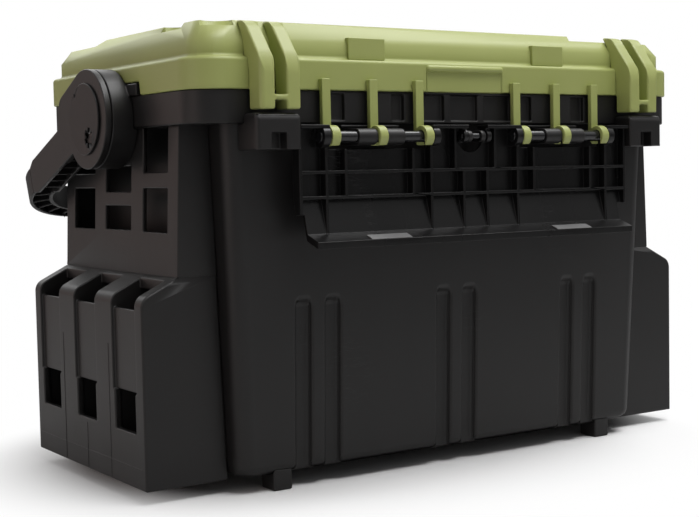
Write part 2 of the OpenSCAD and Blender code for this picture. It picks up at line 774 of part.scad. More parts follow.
// The notch round the middle clip, in X and Z, with its way out between the snap rings
module clip_notch() {
  neck = rail_top - rail_t;
  start = asin(neck / clip_notch_r);
  polygon(concat(
    [[ring_span[0], neck], [ring_span[0], rail_top + over], [-ring_span[0], rail_top + over]],
    [[-ring_span[0], neck]],
    arc([0, 0], clip_notch_r, 180 - start, 360 + start, 24)
  ));
}

// A latch flap about its hinge axis, hanging down on the front side
module flap() {
  half = flap_len / 2;
  inner_knuckle = knuckle_spans[0];
  outer_knuckle = knuckle_spans[1];
  clear_top = -hook_r - over / 2;
  lip_bottom = lip_edge_drop + lip_edge_h;
  difference() {
    union() {
      along_x(-half, half) flap_side_outline();
      along_x(-half + rib_t, half - rib_t) for (drop = [cross_rib_drop, bend_drop])
        translate([-rib_reach, -drop - rib_t / 2]) square([rib_reach + flap_back - flap_t / 2, rib_t]);
      both_sides() {
        // Side wall, top rail, upright ribs, knuckles and snap ring
        along_x(half - flap_t, half) flap_rib_outline(rail_top - rib_t, side_drop);
        for (span = [[ring_span[0], inner_knuckle[1]], [outer_knuckle[0], half]])
          along_x(span[0], span[1]) translate([flap_t - flap_back, rail_top - rail_t])
            square([2 * flap_back - 3 * flap_t / 2, rail_t]);
        short_rib(top_rib_x, rail_top - rail_t / 2, cross_rib_drop);
        full_rib(low_rib_x, -cross_rib_drop);
        for (x = short_ribs) short_rib(x, clear_top, bend_drop);
        for (x = [inner_knuckle[1] - rib_t / 2, outer_knuckle[0] + rib_t / 2]) full_rib(x, -rod_r - rib_t);
        for (span = knuckle_spans) knuckle(span);
        bar_x(ring_span[0], ring_span[1], ring_r);
        along_x(ring_span[0], ring_span[1])
          translate([-ring_r / 2, 0]) square([ring_r, rail_top - rail_t / 2]);
      }
    }
    // Room for the lid's hooks and the brackets, the rods' bores and the step below the side walls
    both_sides() {
      translate([inner_knuckle[1] + seat, 0, clear_top])
        cube([outer_knuckle[0] - inner_knuckle[1] - 2 * seat, flap_back + over,
          rail_top + over - clear_top]);
      for (span = knuckle_spans) bar_x(span[0] - over, span[1] + over, rod_r + run_gap);
      bar_x(ring_span[0] - over, ring_span[1] + over, clip_rod_r + run_gap);
      translate([ring_span[0] - over, -ring_mouth / 2, -ring_r - over])
        cube([ring_span[1] - ring_span[0] + 2 * over, ring_mouth, ring_r + over]);
      translate([half - side_step, -lip_reach - over, -lip_bottom - over])
        cube([side_step + over, lip_reach + flap_back + 2 * over, lip_bottom - side_drop + over]);
    }
    translate([0, flap_back, 0]) along_y(2 * (flap_t + eps)) clip_notch();
  }
}

// The two catch strips on a flap's lip
module catch_strips() {
  lean = (lip_edge_drop - lip_drop + flap_t / 2) / (lip_reach - lip_root);
  foot = seat - lip_edge_drop;
  both_sides() along_x(strip_x - strip_len / 2, strip_x + strip_len / 2) polygon([
    [-lip_reach, foot],
    [strip_w - lip_reach, foot + lean * strip_w],
    [strip_w - lip_reach, foot + lean * strip_w + strip_t],
    [-lip_reach, foot + strip_t]
  ]);
}

// Puts a flap piece on the front hinge axis, hanging open
module at_front() translate([0, -rod_y, rod_z]) children();
// Puts a flap piece on the rear hinge axis, closed over the lid
module at_rear() mirror([0, 1, 0]) translate([0, -rod_y, rod_z]) rotate([closed_turn, 0, 0]) children();

module front_flap() color(black) placed() at_front() flap();
module rear_flap() color(black) placed() at_rear() flap();
module front_catch_strips() color("#4a4a4c") placed() at_front() catch_strips();
module rear_catch_strips() color("#4a4a4c") placed() at_rear() catch_strips();

// The lid's outline, drawn in by inset all round and from its top
module lid_form(inset) {
  len = lid_len - 2 * inset;
  dep = lid_dep - 2 * inset;
  tier_len = len - 2 * tier_inset_x;
  tier_dep = dep - 2 * tier_inset_y;
  translate([0, 0, lid_z]) linear_extrude(lid_rim_h - inset) rounded_rect(len, dep, lid_r - inset);
  hull() {
    translate([0, 0, tier_z - inset - eps]) linear_extrude(tier_wall_h + inset / 2 + eps)
      rounded_rect(tier_len, tier_dep, lid_r - tier_inset_y - inset, $fn = 32);
    translate([0, 0, lid_top_z - inset - eps]) linear_extrude(eps)
      rounded_rect(tier_len - 2 * slope_run, tier_dep - 2 * slope_run, lid_r - slope_run - inset, $fn = 32);
  }
}

module lid_shell() color(olive) placed() difference() {
  lid_form(0);
  difference() {
    lid_form(lid_wall);
    // The low corners and scoops keep their wall
    for (turn = [0, 180]) rotate([0, 0, turn]) {
      translate([low_corner_x - lid_wall, -lid_dep, lid_top_z - low_corner_drop - lid_wall])
        cube([lid_len, lid_dep - low_corner_y + lid_wall, lid_wall + low_corner_drop]);
      translate([-lid_len / 2, -lid_dep, lid_top_z - scoop_depth - lid_wall])
        cube([lid_r + scoop_r, lid_dep - scoop_y + scoop_r + lid_wall, lid_wall + scoop_depth]);
    }
  }
  translate([0, 0, lid_z - over]) linear_extrude(over + eps)
    rounded_rect(lid_len - 2 * lid_wall, lid_dep - 2 * lid_wall, lid_r - lid_wall);
  for (turn = [0, 180]) rotate([0, 0, turn]) {
    along_x(low_corner_x, lid_len) polygon([
      [-lid_dep, lid_top_z - low_corner_drop],
      [-low_corner_y - low_corner_ramp, lid_top_z - low_corner_drop],
      [-low_corner_y, lid_top_z],
      [-low_corner_y, lid_top_z + over],
      [-lid_dep, lid_top_z + over]
    ]);
    translate([tier_inset_x + slope_run - lid_len / 2, -scoop_y, lid_top_z - scoop_depth])
      cylinder(h = scoop_depth + over, r = scoop_r);
    translate([-corner_scoop_x, tier_inset_y + slope_run - lid_dep / 2, lid_top_z - scoop_depth])
      cylinder(h = scoop_depth + over, r = corner_scoop_r);
    // The notch for the drum, and the panel under the ridge
    along_x(lid_len / 2 - 2 * lid_wall, lid_len / 2 + over) polygon([
      [-notch_half, lid_z - over],
      [notch_half, lid_z - over],
      [notch_half - lid_wall / 2, lid_z + notch_h],
      [-notch_half + lid_wall / 2, lid_z + notch_h]
    ]);
    translate([-ridge_half, -lid_dep / 2 - over, lid_z - over])
      cube([2 * ridge_half, ridge_panel_depth + over, ridge_z + over]);
  }
}

// The catch tabs of both long sides, with the ridge between each pair
module lid_catch_tabs() color(olive) placed() for (turn = [0, 180]) rotate([0, 0, turn]) {
  wall = -lid_dep / 2 + tier_inset_y;
  both_sides() along_x(tab_x - tab_len / 2, tab_x + tab_len / 2) polygon([
    [wall - seat, tier_z + seat],
    [wall - tab_out, tier_z + seat],
    [wall - tab_out, tier_z + tab_h],
    [wall + (tab_h - tier_wall_h) * slope_run / slope_h - seat, tier_z + tab_h],
    [wall - seat, tier_z + tier_wall_h]
  ]);
  translate([-ridge_half, -lid_dep / 2 - ridge_out, lid_z + ridge_z])
    cube([2 * ridge_half, ridge_out - seat, ridge_h]);
}

// One lid hook: a finger down from the lid's rim and a ring, open downwards, on the rod
module lid_hook(x) {
  inner = -collar_dep / 2 - finger_gap;
  difference() {
    along_x(x - hook_t / 2, x + hook_t / 2) {
      translate([inner - finger_t, rod_z]) square([finger_t, lid_z + finger_top - rod_z]);
      translate([-rod_y, rod_z]) circle(r = hook_r);
      translate([inner - finger_t, lid_z + eps])
        square([finger_t - inner - lid_dep / 2 - seat, finger_top - eps]);
    }
    translate([0, -rod_y, rod_z]) {
      bar_x(x - hook_t, x + hook_t, rod_r + hook_gap);
      translate([x - hook_t, -rod_r - hook_gap, -hook_r - over])
        cube([2 * hook_t, 2 * (rod_r + hook_gap), hook_r + over]);
    }
  }
}

module front_lid_hooks() color(olive) placed() both_sides() for (x = hook_x) lid_hook(x);
module rear_lid_hooks() color(olive) placed() mirror([0, 1, 0]) both_sides() for (x = hook_x) lid_hook(x);

// A strap loop on the front right of the lid: two ribs and a crossbar
module strap_loop() {
  rim = lid_dep / 2 + seat;
  tier = rim - tier_inset_y;
  inner = collar_dep / 2 + loop_gap;
  for (span = loop_ribs) along_x(span[0], span[1]) polygon([
    [-tier + slope_run, lid_top_z],
    [-tier, tier_z + tier_wall_h],
    [-tier, tier_z + seat],
    [-rim, tier_z + seat],
    [-rim, lid_z],
    [-inner, lid_z - seat],
    [-inner, loop_foot_z],
    [-loop_y, loop_foot_z],
    [-loop_y, lid_z + loop_slope_z],
    [-tier - 1, lid_top_z]
  ]);
  translate([loop_ribs[0][1] - eps, -loop_y, lid_z - bar_drop])
    cube([loop_ribs[1][0] - loop_ribs[0][1] + 2 * eps, loop_y - inner, bar_t]);
}

module strap_loop_front_right() color(olive) placed() strap_loop();
module strap_loop_front_left() color(olive) placed() mirror([1, 0, 0]) strap_loop();
module strap_loop_rear_right() color(olive) placed() mirror([0, 1, 0]) strap_loop();
module strap_loop_rear_left() color(olive) placed() rotate([0, 0, 180]) strap_loop();

module handle_at_pivot() translate([0, 0, pivot_z]) rotate([-stow_angle, 0, 0]) children();

// One ladder rib across the grip's or a corner's channel
module ladder_rib(w) translate([0, 0, ladder_recess - grip_down])
  linear_extrude(grip_up + grip_down - ladder_recess - eps) square([w, ladder_t], center = true);

// The grip's channel, open on its lower side, drawn in by inset at its walls
module grip_channel(inset, from, to)
  along_x(from, to) translate([handle_reach - grip_w + inset, -grip_down - (inset > 0 ? over : 0)])
    square([grip_w - 2 * inset, grip_down + grip_up - (inset > 0 ? grip_back_t - over : 0)]);

module handle_grip() color(black) placed() handle_at_pivot() {
  difference() {
    grip_channel(0, -grip_half, grip_half);
    grip_channel(grip_wall, -grip_half - over, grip_half + over);
  }
  both_sides() for (x = [ladder_pitch / 2 : ladder_pitch : grip_half])
    translate([x, handle_reach - grip_w / 2, 0]) rotate([0, 0, 90]) ladder_rib(grip_w - eps);
}

// A quarter ring round a corner's middle, from one radius to another
module corner_ring(from, to) difference() {
  intersection() {
    circle(r = to);
    translate([seat, seat]) square(to + over);
  }
  circle(r = from);
}

module handle_corner() translate([grip_half, arm_end, 0]) {
  inner = handle_corner_r - grip_w;
  difference() {
    translate([0, 0, -grip_down]) linear_extrude(grip_down + grip_up) corner_ring(inner, handle_corner_r);
    translate([-over, -over, -grip_down - over]) linear_extrude(grip_down + grip_up - grip_back_t + over)
      translate([over, over]) difference() {
        circle(r = handle_corner_r - grip_wall);
        circle(r = inner + grip_wall);
      }
  }
  for (a = [10 : 16 : 85])
    rotate([0, 0, a]) translate([handle_corner_r - grip_w / 2, 0, 0]) ladder_rib(grip_w - 1);
}

// An arm's outline in its side view, drawn in by inset at its open side, its end and its back
module arm_outline(start, open, back) polygon([
  [start, -arm_down - open],
  [arm_end - arm_taper, -arm_down - open],
  [arm_end + open, -grip_down - open],
  [arm_end + open, grip_up - back],
  [arm_end - arm_taper, arm_up - back],
  [start, arm_up - back]
]);

// The disc round the pivot, with the round shoulder that carries it into the arm
module disc_outline() {
  circle(r = drum_r);
  polygon(concat(
    [[0, -arm_down], [0, drum_r]],
    arc([flare_u, flare_w], flare_r, 90, 30),
    [[flare_foot, arm_up], [flare_foot, -arm_down]]
  ));
}

module handle_arm() {
  difference() {
    union() {
      difference() {
        along_x(disc_face - grip_w, disc_face) arm_outline(arm_start, 0, 0);
        along_x(disc_face - grip_w + grip_wall, disc_face - grip_wall)
          arm_outline(arm_start + grip_wall, over, grip_back_t);
      }
      for (u = [arm_start + ladder_pitch : ladder_pitch : arm_end - arm_taper])
        along_x(disc_face - grip_w + eps, disc_face - eps)
          translate([u - ladder_t / 2, ladder_recess - arm_down])
            square([ladder_t, arm_up + arm_down - ladder_recess - eps]);
      along_x(disc_back, disc_face) disc_outline();
    }
    bar_x(disc_back - over, disc_face + over, pin_r + pin_gap);
    bar_x(disc_face - pin_head_t - 2 * drum_gap, disc_face + over, pin_head_r + drum_gap);
  }
}

module handle_corner_right() color(black) placed() handle_at_pivot() handle_corner();
module handle_corner_left() color(black) placed() handle_at_pivot() mirror([1, 0, 0]) handle_corner();
module handle_arm_right() color(black) placed() handle_at_pivot() handle_arm();
module handle_arm_left() color(black) placed() handle_at_pivot() mirror([1, 0, 0]) handle_arm();

module pivot_cover() difference() {
  bar_x(disc_face + seat, disc_face + seat + cover_t, cover_r);
  translate([disc_face, -star_reach / 6, -star_reach]) for (turn = [0, 60, 120])
    rotate([turn, 0, 0]) cube([4 * cover_t, star_size, star_size / 3.4], center = true);
  translate([0, pit_reach / 3, pit_reach]) bar_x(disc_face + cover_t / 2, disc_face + 2 * cover_t, pit_r);
}

module pivot_cover_right() color(dark) placed() handle_at_pivot() pivot_cover();
module pivot_cover_left() color(dark) placed() handle_at_pivot() mirror([1, 0, 0]) pivot_cover();

tub();
feet();
rim_collar();
side_frame_left();
side_frame_right();
rod_pod_left();
rod_pod_right();
front_strap_bosses();
rear_strap_bosses();
front_hinge_brackets();
rear_hinge_brackets();
front_rod_left();
front_rod_right();
rear_rod_left();
rear_rod_right();
front_clip_rod();
rear_clip_rod();
handle_drum_left();
handle_drum_right();
pivot_pin_left();
pivot_pin_right();
front_flap();
front_catch_strips();
rear_flap();
rear_catch_strips();
lid_shell();
lid_catch_tabs();
front_lid_hooks();
rear_lid_hooks();
strap_loop_front_left();
strap_loop_front_right();
strap_loop_rear_left();
strap_loop_rear_right();
handle_grip();
handle_corner_left();
handle_corner_right();
handle_arm_left();
handle_arm_right();
pivot_cover_left();
pivot_cover_right();
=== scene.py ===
"""Dresses a moulded tackle box: black tub with rod pods, olive lid, latch flaps and a swing handle.

Sizes are in millimetres where nothing else is said, and are turned into metres where a mesh is
made. X runs along the box, -Y is the long side whose flap hangs open, and Z is up from the
underside of the feet.
"""

import json
import logging
import math
from collections.abc import Callable, Iterable
from dataclasses import dataclass
from enum import Enum

import bmesh
import bpy
import numpy as np
from mathutils import Matrix, Vector

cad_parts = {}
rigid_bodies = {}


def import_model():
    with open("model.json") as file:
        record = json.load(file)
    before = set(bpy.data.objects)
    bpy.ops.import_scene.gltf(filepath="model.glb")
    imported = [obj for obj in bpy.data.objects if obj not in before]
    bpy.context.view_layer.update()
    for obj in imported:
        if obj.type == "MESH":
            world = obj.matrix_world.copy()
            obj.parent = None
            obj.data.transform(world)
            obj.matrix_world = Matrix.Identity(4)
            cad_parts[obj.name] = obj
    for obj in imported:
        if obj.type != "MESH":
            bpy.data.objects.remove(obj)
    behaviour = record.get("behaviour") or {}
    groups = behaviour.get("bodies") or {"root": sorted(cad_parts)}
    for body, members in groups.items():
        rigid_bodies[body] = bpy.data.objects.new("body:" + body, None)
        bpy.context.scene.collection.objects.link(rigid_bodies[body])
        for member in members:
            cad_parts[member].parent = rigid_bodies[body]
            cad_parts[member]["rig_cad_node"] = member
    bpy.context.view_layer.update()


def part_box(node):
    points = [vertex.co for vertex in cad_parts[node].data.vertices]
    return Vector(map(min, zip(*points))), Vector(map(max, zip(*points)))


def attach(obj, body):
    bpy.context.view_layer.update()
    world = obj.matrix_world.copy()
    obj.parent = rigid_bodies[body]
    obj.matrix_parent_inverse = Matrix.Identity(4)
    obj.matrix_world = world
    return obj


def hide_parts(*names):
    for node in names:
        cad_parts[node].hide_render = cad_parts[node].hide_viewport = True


MM = 0.001  # metres in a millimetre
MID_Y = -7.1  # the plane halfway between the two long sides
log = logging.getLogger("tackle_box")

Colour = tuple[float, float, float]
Place = tuple[float, float, float]


class Slot(Enum):
    """The record's material slots."""

    BLACK = "black_plastic"
    ROD = "rod_plastic"
    PIN = "pin_steel"
    STRIP = "strip_plastic"
    OLIVE = "olive_plastic"
    COVER = "cover_plastic"


class Body(Enum):
    """The bodies that pieces ride on."""

    BOX = "body"
    FRONT_FLAP = "front_flap"
    REAR_FLAP = "rear_flap"
    LID = "lid"
    HANDLE = "handle"


# ---------------------------------------------------------------- materials


class Blend(Enum):
    """What a Mix node blends: its type, and the places of its two inputs and its output."""

    NUMBERS = ("FLOAT", 2, 3, 0)
    COLOURS = ("RGBA", 6, 7, 2)


@dataclass
class Wiring:
    """A node tree with short ways to add and join its nodes.

    Args:
        tree: The node tree that is filled.
    """

    tree: bpy.types.NodeTree

    def add(self, kind: str, **settings: object) -> bpy.types.Node:
        """Adds a node and sets its properties.

        Args:
            kind: The node's type, without the ShaderNode prefix.
            settings: Properties of the node, or values of its inputs by name.

        Returns:
            The new node.
        """
        node = self.tree.nodes.new(f"ShaderNode{kind}")
        for name, value in settings.items():
            if hasattr(node, name):
                setattr(node, name, value)
            else:
                node.inputs[name.replace("_", " ")].default_value = value
        return node

    def join(self, source: bpy.types.NodeSocket, target: bpy.types.NodeSocket) -> None:
        """Joins two sockets."""
        self.tree.links.new(source, target)

    def feed(self, value: object, target: bpy.types.NodeSocket) -> None:
        """Joins a socket to an input, or sets the input to a value.

        Args:
            value: A socket or a value, or None to leave the input as it is.
            target: The input.
        """
        if isinstance(value, bpy.types.NodeSocket):
            self.join(value, target)
        elif value is not None:
            target.default_value = value

    def maths(
        self, operation: str, a: object, b: object = None, clamp: bool = False
    ) -> bpy.types.NodeSocket:
        """Adds a Math node.

        Args:
            operation: The node's operation.
            a: A number or a socket.
            b: A number or a socket, or None where the operation takes one value.
            clamp: Whether the result is kept from 0 to 1.

        Returns:
            The node's output.
        """
        node = self.add("Math", operation=operation, use_clamp=clamp)
        for value, socket in zip((a, b), node.inputs):
            self.feed(value, socket)
        return node.outputs[0]

    def noise(
        self, vector: bpy.types.NodeSocket, scale: object, detail: float
    ) -> bpy.types.NodeSocket:
        """Adds a noise texture.

        Args:
            vector: Where it is read.
            scale: Waves per metre, a number or a socket.
            detail: Number of finer octaves.

        Returns:
            The noise from 0 to 1.
        """
        node = self.add("TexNoise", Detail=detail)
        self.join(vector, node.inputs["Vector"])
        self.feed(scale, node.inputs["Scale"])
        return node.outputs["Fac"]

    def mix(
        self, blend: Blend, share: bpy.types.NodeSocket, a: object, b: object
    ) -> bpy.types.NodeSocket:
        """Adds a Mix node.

        Args:
            blend: What it blends.
            share: The share of the second input.
            a: The first input, a value or a socket.
            b: The second input, a value or a socket.

        Returns:
            The node's output.
        """
        kind, first, second, output = blend.value
        node = self.add("Mix", data_type=kind)
        self.join(share, node.inputs[0])
        self.feed(a, node.inputs[first])
        self.feed(b, node.inputs[second])
        return node.outputs[output]

    def rise(
        self, value: bpy.types.NodeSocket, span: tuple[float, float], low: float = 0.0
    ) -> bpy.types.NodeSocket:
        """Adds a smooth step that ends at 1.

        Args:
            value: What the step follows.
            span: The values at which the step starts and ends.
            low: Where the step starts from.

        Returns:
            The height of the step.
        """
        node = self.add("MapRange", interpolation_type="SMOOTHSTEP")
        for label, number in (("From Min", span[0]), ("From Max", span[1]), ("To Min", low)):
            node.inputs[label].default_value = number
        self.join(value, node.inputs["Value"])
        return node.outputs[0]


def effect_group(
    name: str, inputs: dict[str, float], outputs: Iterable[str]
) -> tuple[Wiring, dict, dict]:
    """Starts a node group with named sockets.

    Args:
        name: The group's name.
        inputs: The default value of each number that goes in.
        outputs: The names of the numbers that come out.

    Returns:
        Its wiring, the sockets that its inputs give, and the sockets that its outputs take.
    """
    group = bpy.data.node_groups.new(name, "ShaderNodeTree")
    for label, value in inputs.items():
        socket = group.interface.new_socket(label, in_out="INPUT", socket_type="NodeSocketFloat")
        socket.default_value = value
    for label in outputs:
        group.interface.new_socket(label, in_out="OUTPUT", socket_type="NodeSocketFloat")
    wiring = Wiring(group)
    given = wiring.tree.nodes.new("NodeGroupInput").outputs
    taken = wiring.tree.nodes.new("NodeGroupOutput").inputs
    return wiring, {s.name: s for s in given}, {s.name: s for s in taken}


def mould_grain() -> bpy.types.NodeTree:
    """The spark-eroded grain of a mould: a coarse and a fine noise, added as one height.

    Returns:
        The group, with the height as its output.
    """
    finer_by = 3.1
    numbers = {"Waves": 1400.0, "Fine share": 0.35}
    wiring, given, taken = effect_group("mould_grain", numbers, ["Height"])
    place = wiring.add("TexCoord").outputs["Object"]
    coarse = wiring.noise(place, given["Waves"], 2.0)
    finer = wiring.maths("MULTIPLY", given["Waves"], finer_by)
    fine = wiring.maths("MULTIPLY", wiring.noise(place, finer, 1.0), given["Fine share"])
    wiring.join(wiring.maths("ADD", coarse, fine), taken["Height"])
    return wiring.tree


def flow_marks() -> bpy.types.NodeTree:
    """The cloudy streaks that plastic leaves as it fills a mould: noise drawn out upwards.

    Returns:
        The group, with a mask from 0 to 1 as its output.
    """
    drawn_out = (1.0, 1.0, 0.22)
    middle = 0.5
    numbers = {"Waves": 22.0, "Contrast": 1.6}
    wiring, given, taken = effect_group("flow_marks", numbers, ["Mask"])
    place = wiring.add("TexCoord").outputs["Object"]
    drawn = wiring.add("Mapping")
    drawn.inputs["Scale"].default_value = drawn_out
    wiring.join(place, drawn.inputs["Vector"])
    cloud = wiring.noise(drawn.outputs["Vector"], given["Waves"], 3.0)
    spread = wiring.maths("MULTIPLY", wiring.maths("SUBTRACT", cloud, middle), given["Contrast"])
    wiring.join(wiring.maths("ADD", spread, middle, clamp=True), taken["Mask"])
    return wiring.tree


def light_scuffs() -> bpy.types.NodeTree:
    """Short faint scratches and dust: thin ridges of a stretched noise, thinned by a slow one.

    Returns:
        The group, with a mask from 0 to 1 as its output.
    """
    stretch, lean = (0.25, 0.3, 1.9), (0.3, 0.5, 0.2)
    thinness, patch_waves, patch_edge = 55.0, 17.0, 9.0
    numbers = {"Waves": 130.0, "Rarity": 0.6}
    wiring, given, taken = effect_group("light_scuffs", numbers, ["Mask"])
    place = wiring.add("TexCoord").outputs["Object"]
    turned = wiring.add("Mapping")
    turned.inputs["Scale"].default_value = stretch
    turned.inputs["Rotation"].default_value = lean
    wiring.join(place, turned.inputs["Vector"])
    line = wiring.noise(turned.outputs["Vector"], given["Waves"], 4.0)
    ridge = wiring.maths("ABSOLUTE", wiring.maths("SUBTRACT", line, 0.5))
    thin = wiring.maths("SUBTRACT", 1.0, wiring.maths("MULTIPLY", ridge, thinness), clamp=True)
    patch = wiring.noise(place, patch_waves, 2.0)
    above = wiring.maths("SUBTRACT", patch, given["Rarity"])
    there = wiring.maths("MULTIPLY", above, patch_edge, clamp=True)
    wiring.join(wiring.maths("MULTIPLY", thin, there), taken["Mask"])
    return wiring.tree


@dataclass(frozen=True)
class Finish:
    """One moulded or turned finish.

    Args:
        name: The material's name.
        colour: Its colour, linear.
        faded: The colour of its lighter streaks, linear.
        roughness: Its roughness where it is clean.
        rough_swing: How much rougher its streaks are.
        grain_waves: Grain waves per metre.
        grain_depth: Depth of the grain.
        scuffs: How strongly scuffs lighten it.
        scuff_white: Share of white in a scuff.
        scuff_rough: How much rougher a scuff is.
        specular: The shader's specular level.
        metallic: 1 for metal.
    """

    name: str
    colour: Colour
    faded: Colour
    roughness: float
    rough_swing: float = 0.08
    grain_waves: float = 1400.0
    grain_depth: float = 0.012
    scuffs: float = 0.25
    scuff_white: float = 0.12
    scuff_rough: float = 0.12
    specular: float = 0.3
    metallic: float = 0.0

    def make(self, groups: dict[str, bpy.types.NodeTree]) -> bpy.types.Material:
        """Builds the material.

        The colour goes from plain to faded by the flow marks and on to the scuffs' pale tone by the
        scuffs. The roughness is the clean one, plus a part of the flow marks and of the scuffs.

        Args:
            groups: The shared effects by name.

        Returns:
            The material.
        """
        material = bpy.data.materials.new(self.name)
        material.use_nodes = True
        wiring = Wiring(material.node_tree)
        shader = material.node_tree.nodes["Principled BSDF"]
        shader.inputs["Specular IOR Level"].default_value = self.specular
        shader.inputs["Metallic"].default_value = self.metallic
        flow = wiring.add("Group", node_tree=groups["flow_marks"]).outputs["Mask"]
        scuff = wiring.add("Group", node_tree=groups["light_scuffs"]).outputs["Mask"]
        tone = wiring.mix(Blend.COLOURS, flow, (*self.colour, 1.0), (*self.faded, 1.0))
        white = self.scuff_white
        pale = (*(white + (1 - white) * c for c in self.faded), 1.0)
        scuffed = wiring.maths("MULTIPLY", scuff, self.scuffs)
        wiring.join(wiring.mix(Blend.COLOURS, scuffed, tone, pale), shader.inputs["Base Color"])
        rough = wiring.maths("MULTIPLY", flow, self.rough_swing)
        rough = wiring.maths("ADD", rough, self.roughness)
        rougher = wiring.maths("MULTIPLY", scuff, self.scuff_rough)
        wiring.join(wiring.maths("ADD", rough, rougher, clamp=True), shader.inputs["Roughness"])
        grain = wiring.add("Group", node_tree=groups["mould_grain"])
        grain.inputs["Waves"].default_value = self.grain_waves
        bump = wiring.add("Bump", Strength=1.0, Distance=self.grain_depth * MM)
        wiring.join(grain.outputs["Height"], bump.inputs["Height"])
        wiring.join(bump.outputs["Normal"], shader.inputs["Normal"])
        return material


FINISHES = {
    Slot.BLACK: Finish(
        "black_satin",
        colour=(0.0086, 0.0081, 0.0082),
        faded=(0.0142, 0.0130, 0.0128),
        roughness=0.38,
        scuffs=0.1,
        specular=0.36,
    ),
    Slot.ROD: Finish(
        "black_gloss",
        colour=(0.008, 0.008, 0.009),
        faded=(0.013, 0.013, 0.014),
        roughness=0.16,
        grain_depth=0.003,
        specular=0.5,
    ),
    Slot.PIN: Finish(
        "turned_steel",
        colour=(0.45, 0.45, 0.46),
        faded=(0.55, 0.55, 0.55),
        roughness=0.3,
        grain_depth=0.004,
        specular=0.5,
        metallic=1.0,
    ),
    Slot.STRIP: Finish(
        "worn_strip",
        colour=(0.15, 0.15, 0.152),
        faded=(0.26, 0.26, 0.26),
        roughness=0.34,
        scuffs=0.7,
    ),
    Slot.OLIVE: Finish(
        "olive_satin",
        colour=(0.352, 0.39, 0.124),
        faded=(0.378, 0.414, 0.14),
        roughness=0.4,
        rough_swing=0.06,
        scuffs=0.06,
        specular=0.45,
    ),
    Slot.COVER: Finish(
        "cover_satin",
        colour=(0.0085, 0.0083, 0.0085),
        faded=(0.0135, 0.013, 0.013),
        roughness=0.36,
    ),
}

# The flaps' finish: smoother than the box's black, and its darker colour is painted shade.
FLAP_SHADED_FINISH = Finish(
    "black_polished_painted_shade",
    colour=(0.0042, 0.004, 0.0042),
    faded=(0.0075, 0.0072, 0.0073),
    roughness=0.24,
    grain_depth=0.005,
    scuffs=0.2,
)


class Paints:
    """Makes each finish once and hands it out by its slot."""

    def __init__(self) -> None:
        """Makes the shared effects and every finish."""
        groups = {g.name: g for g in (mould_grain(), flow_marks(), light_scuffs())}
        self.made = {slot: finish.make(groups) for slot, finish in FINISHES.items()}
        self.flap = FLAP_SHADED_FINISH.make(groups)

    def dress(self, piece: bpy.types.Object, slot: Slot) -> None:
        """Gives a piece its finish. The flaps' black is smoother than the box's, and its darker
        colour is painted shade.

        Args:
            piece: The piece.
            slot: The slot whose finish it takes.
        """
        # Flap pieces take the smoother black whose darker colour is painted shade.
        polished_and_shaded = slot is Slot.BLACK and "flap" in piece.name
        piece.data.materials.clear()
        piece.data.materials.append(self.flap if polished_and_shaded else self.made[slot])


# ---------------------------------------------------------------- meshes

SAME_CORNER = 0.002  # a copied node's points nearer than this are one
SAME_POINT = 0.001  # a grid's points nearer than this are one
FLAT_TURN = 0.5  # triangles that turn by less than this many degrees are one flat face
LOOSE_SHAPE = 60.0  # how far a joined face may be from a square, in degrees
FLAT_WEIGHT = 60  # how strongly a flat face sets the shading of its corners
TINY = 1e-12  # keeps a length that is divided by above nothing
STRAIGHT = 0.95  # an edge runs along an axis where its direction has this share of it
ASLANT = (0.31, 0.52, 0.8)  # a direction that no bar takes
DOME_RINGS = 4  # rings of a bar's domed end


@dataclass(frozen=True)
class Edging:
    """How the edges of a moulded copy are rounded.

    Args:
        radius: The widest rounding.
        segments: Steps across a rounded edge.
        angle: Edges that turn by more than this many degrees are rounded.
        share: Gives each edge's share of the radius from edge middles and directions.
    """

    radius: float = 0.6
    segments: int = 2
    angle: float = 33.0
    share: Callable[[np.ndarray, np.ndarray], np.ndarray] | None = None


def finished(
    name: str, mesh: bpy.types.Mesh, body: Body, nodes: Iterable[str]
) -> bpy.types.Object:
    """Links a mesh as a piece that stands for CAD nodes.

    Args:
        name: The piece's name.
        mesh: Its mesh, in place.
        body: The body it rides on.
        nodes: The nodes it stands for, none for a small form of its own.

    Returns:
        The piece.
    """
    piece = bpy.data.objects.new(name, mesh)
    bpy.context.scene.collection.objects.link(piece)
    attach(piece, body.value)
    if nodes:
        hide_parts(*nodes)
    return piece


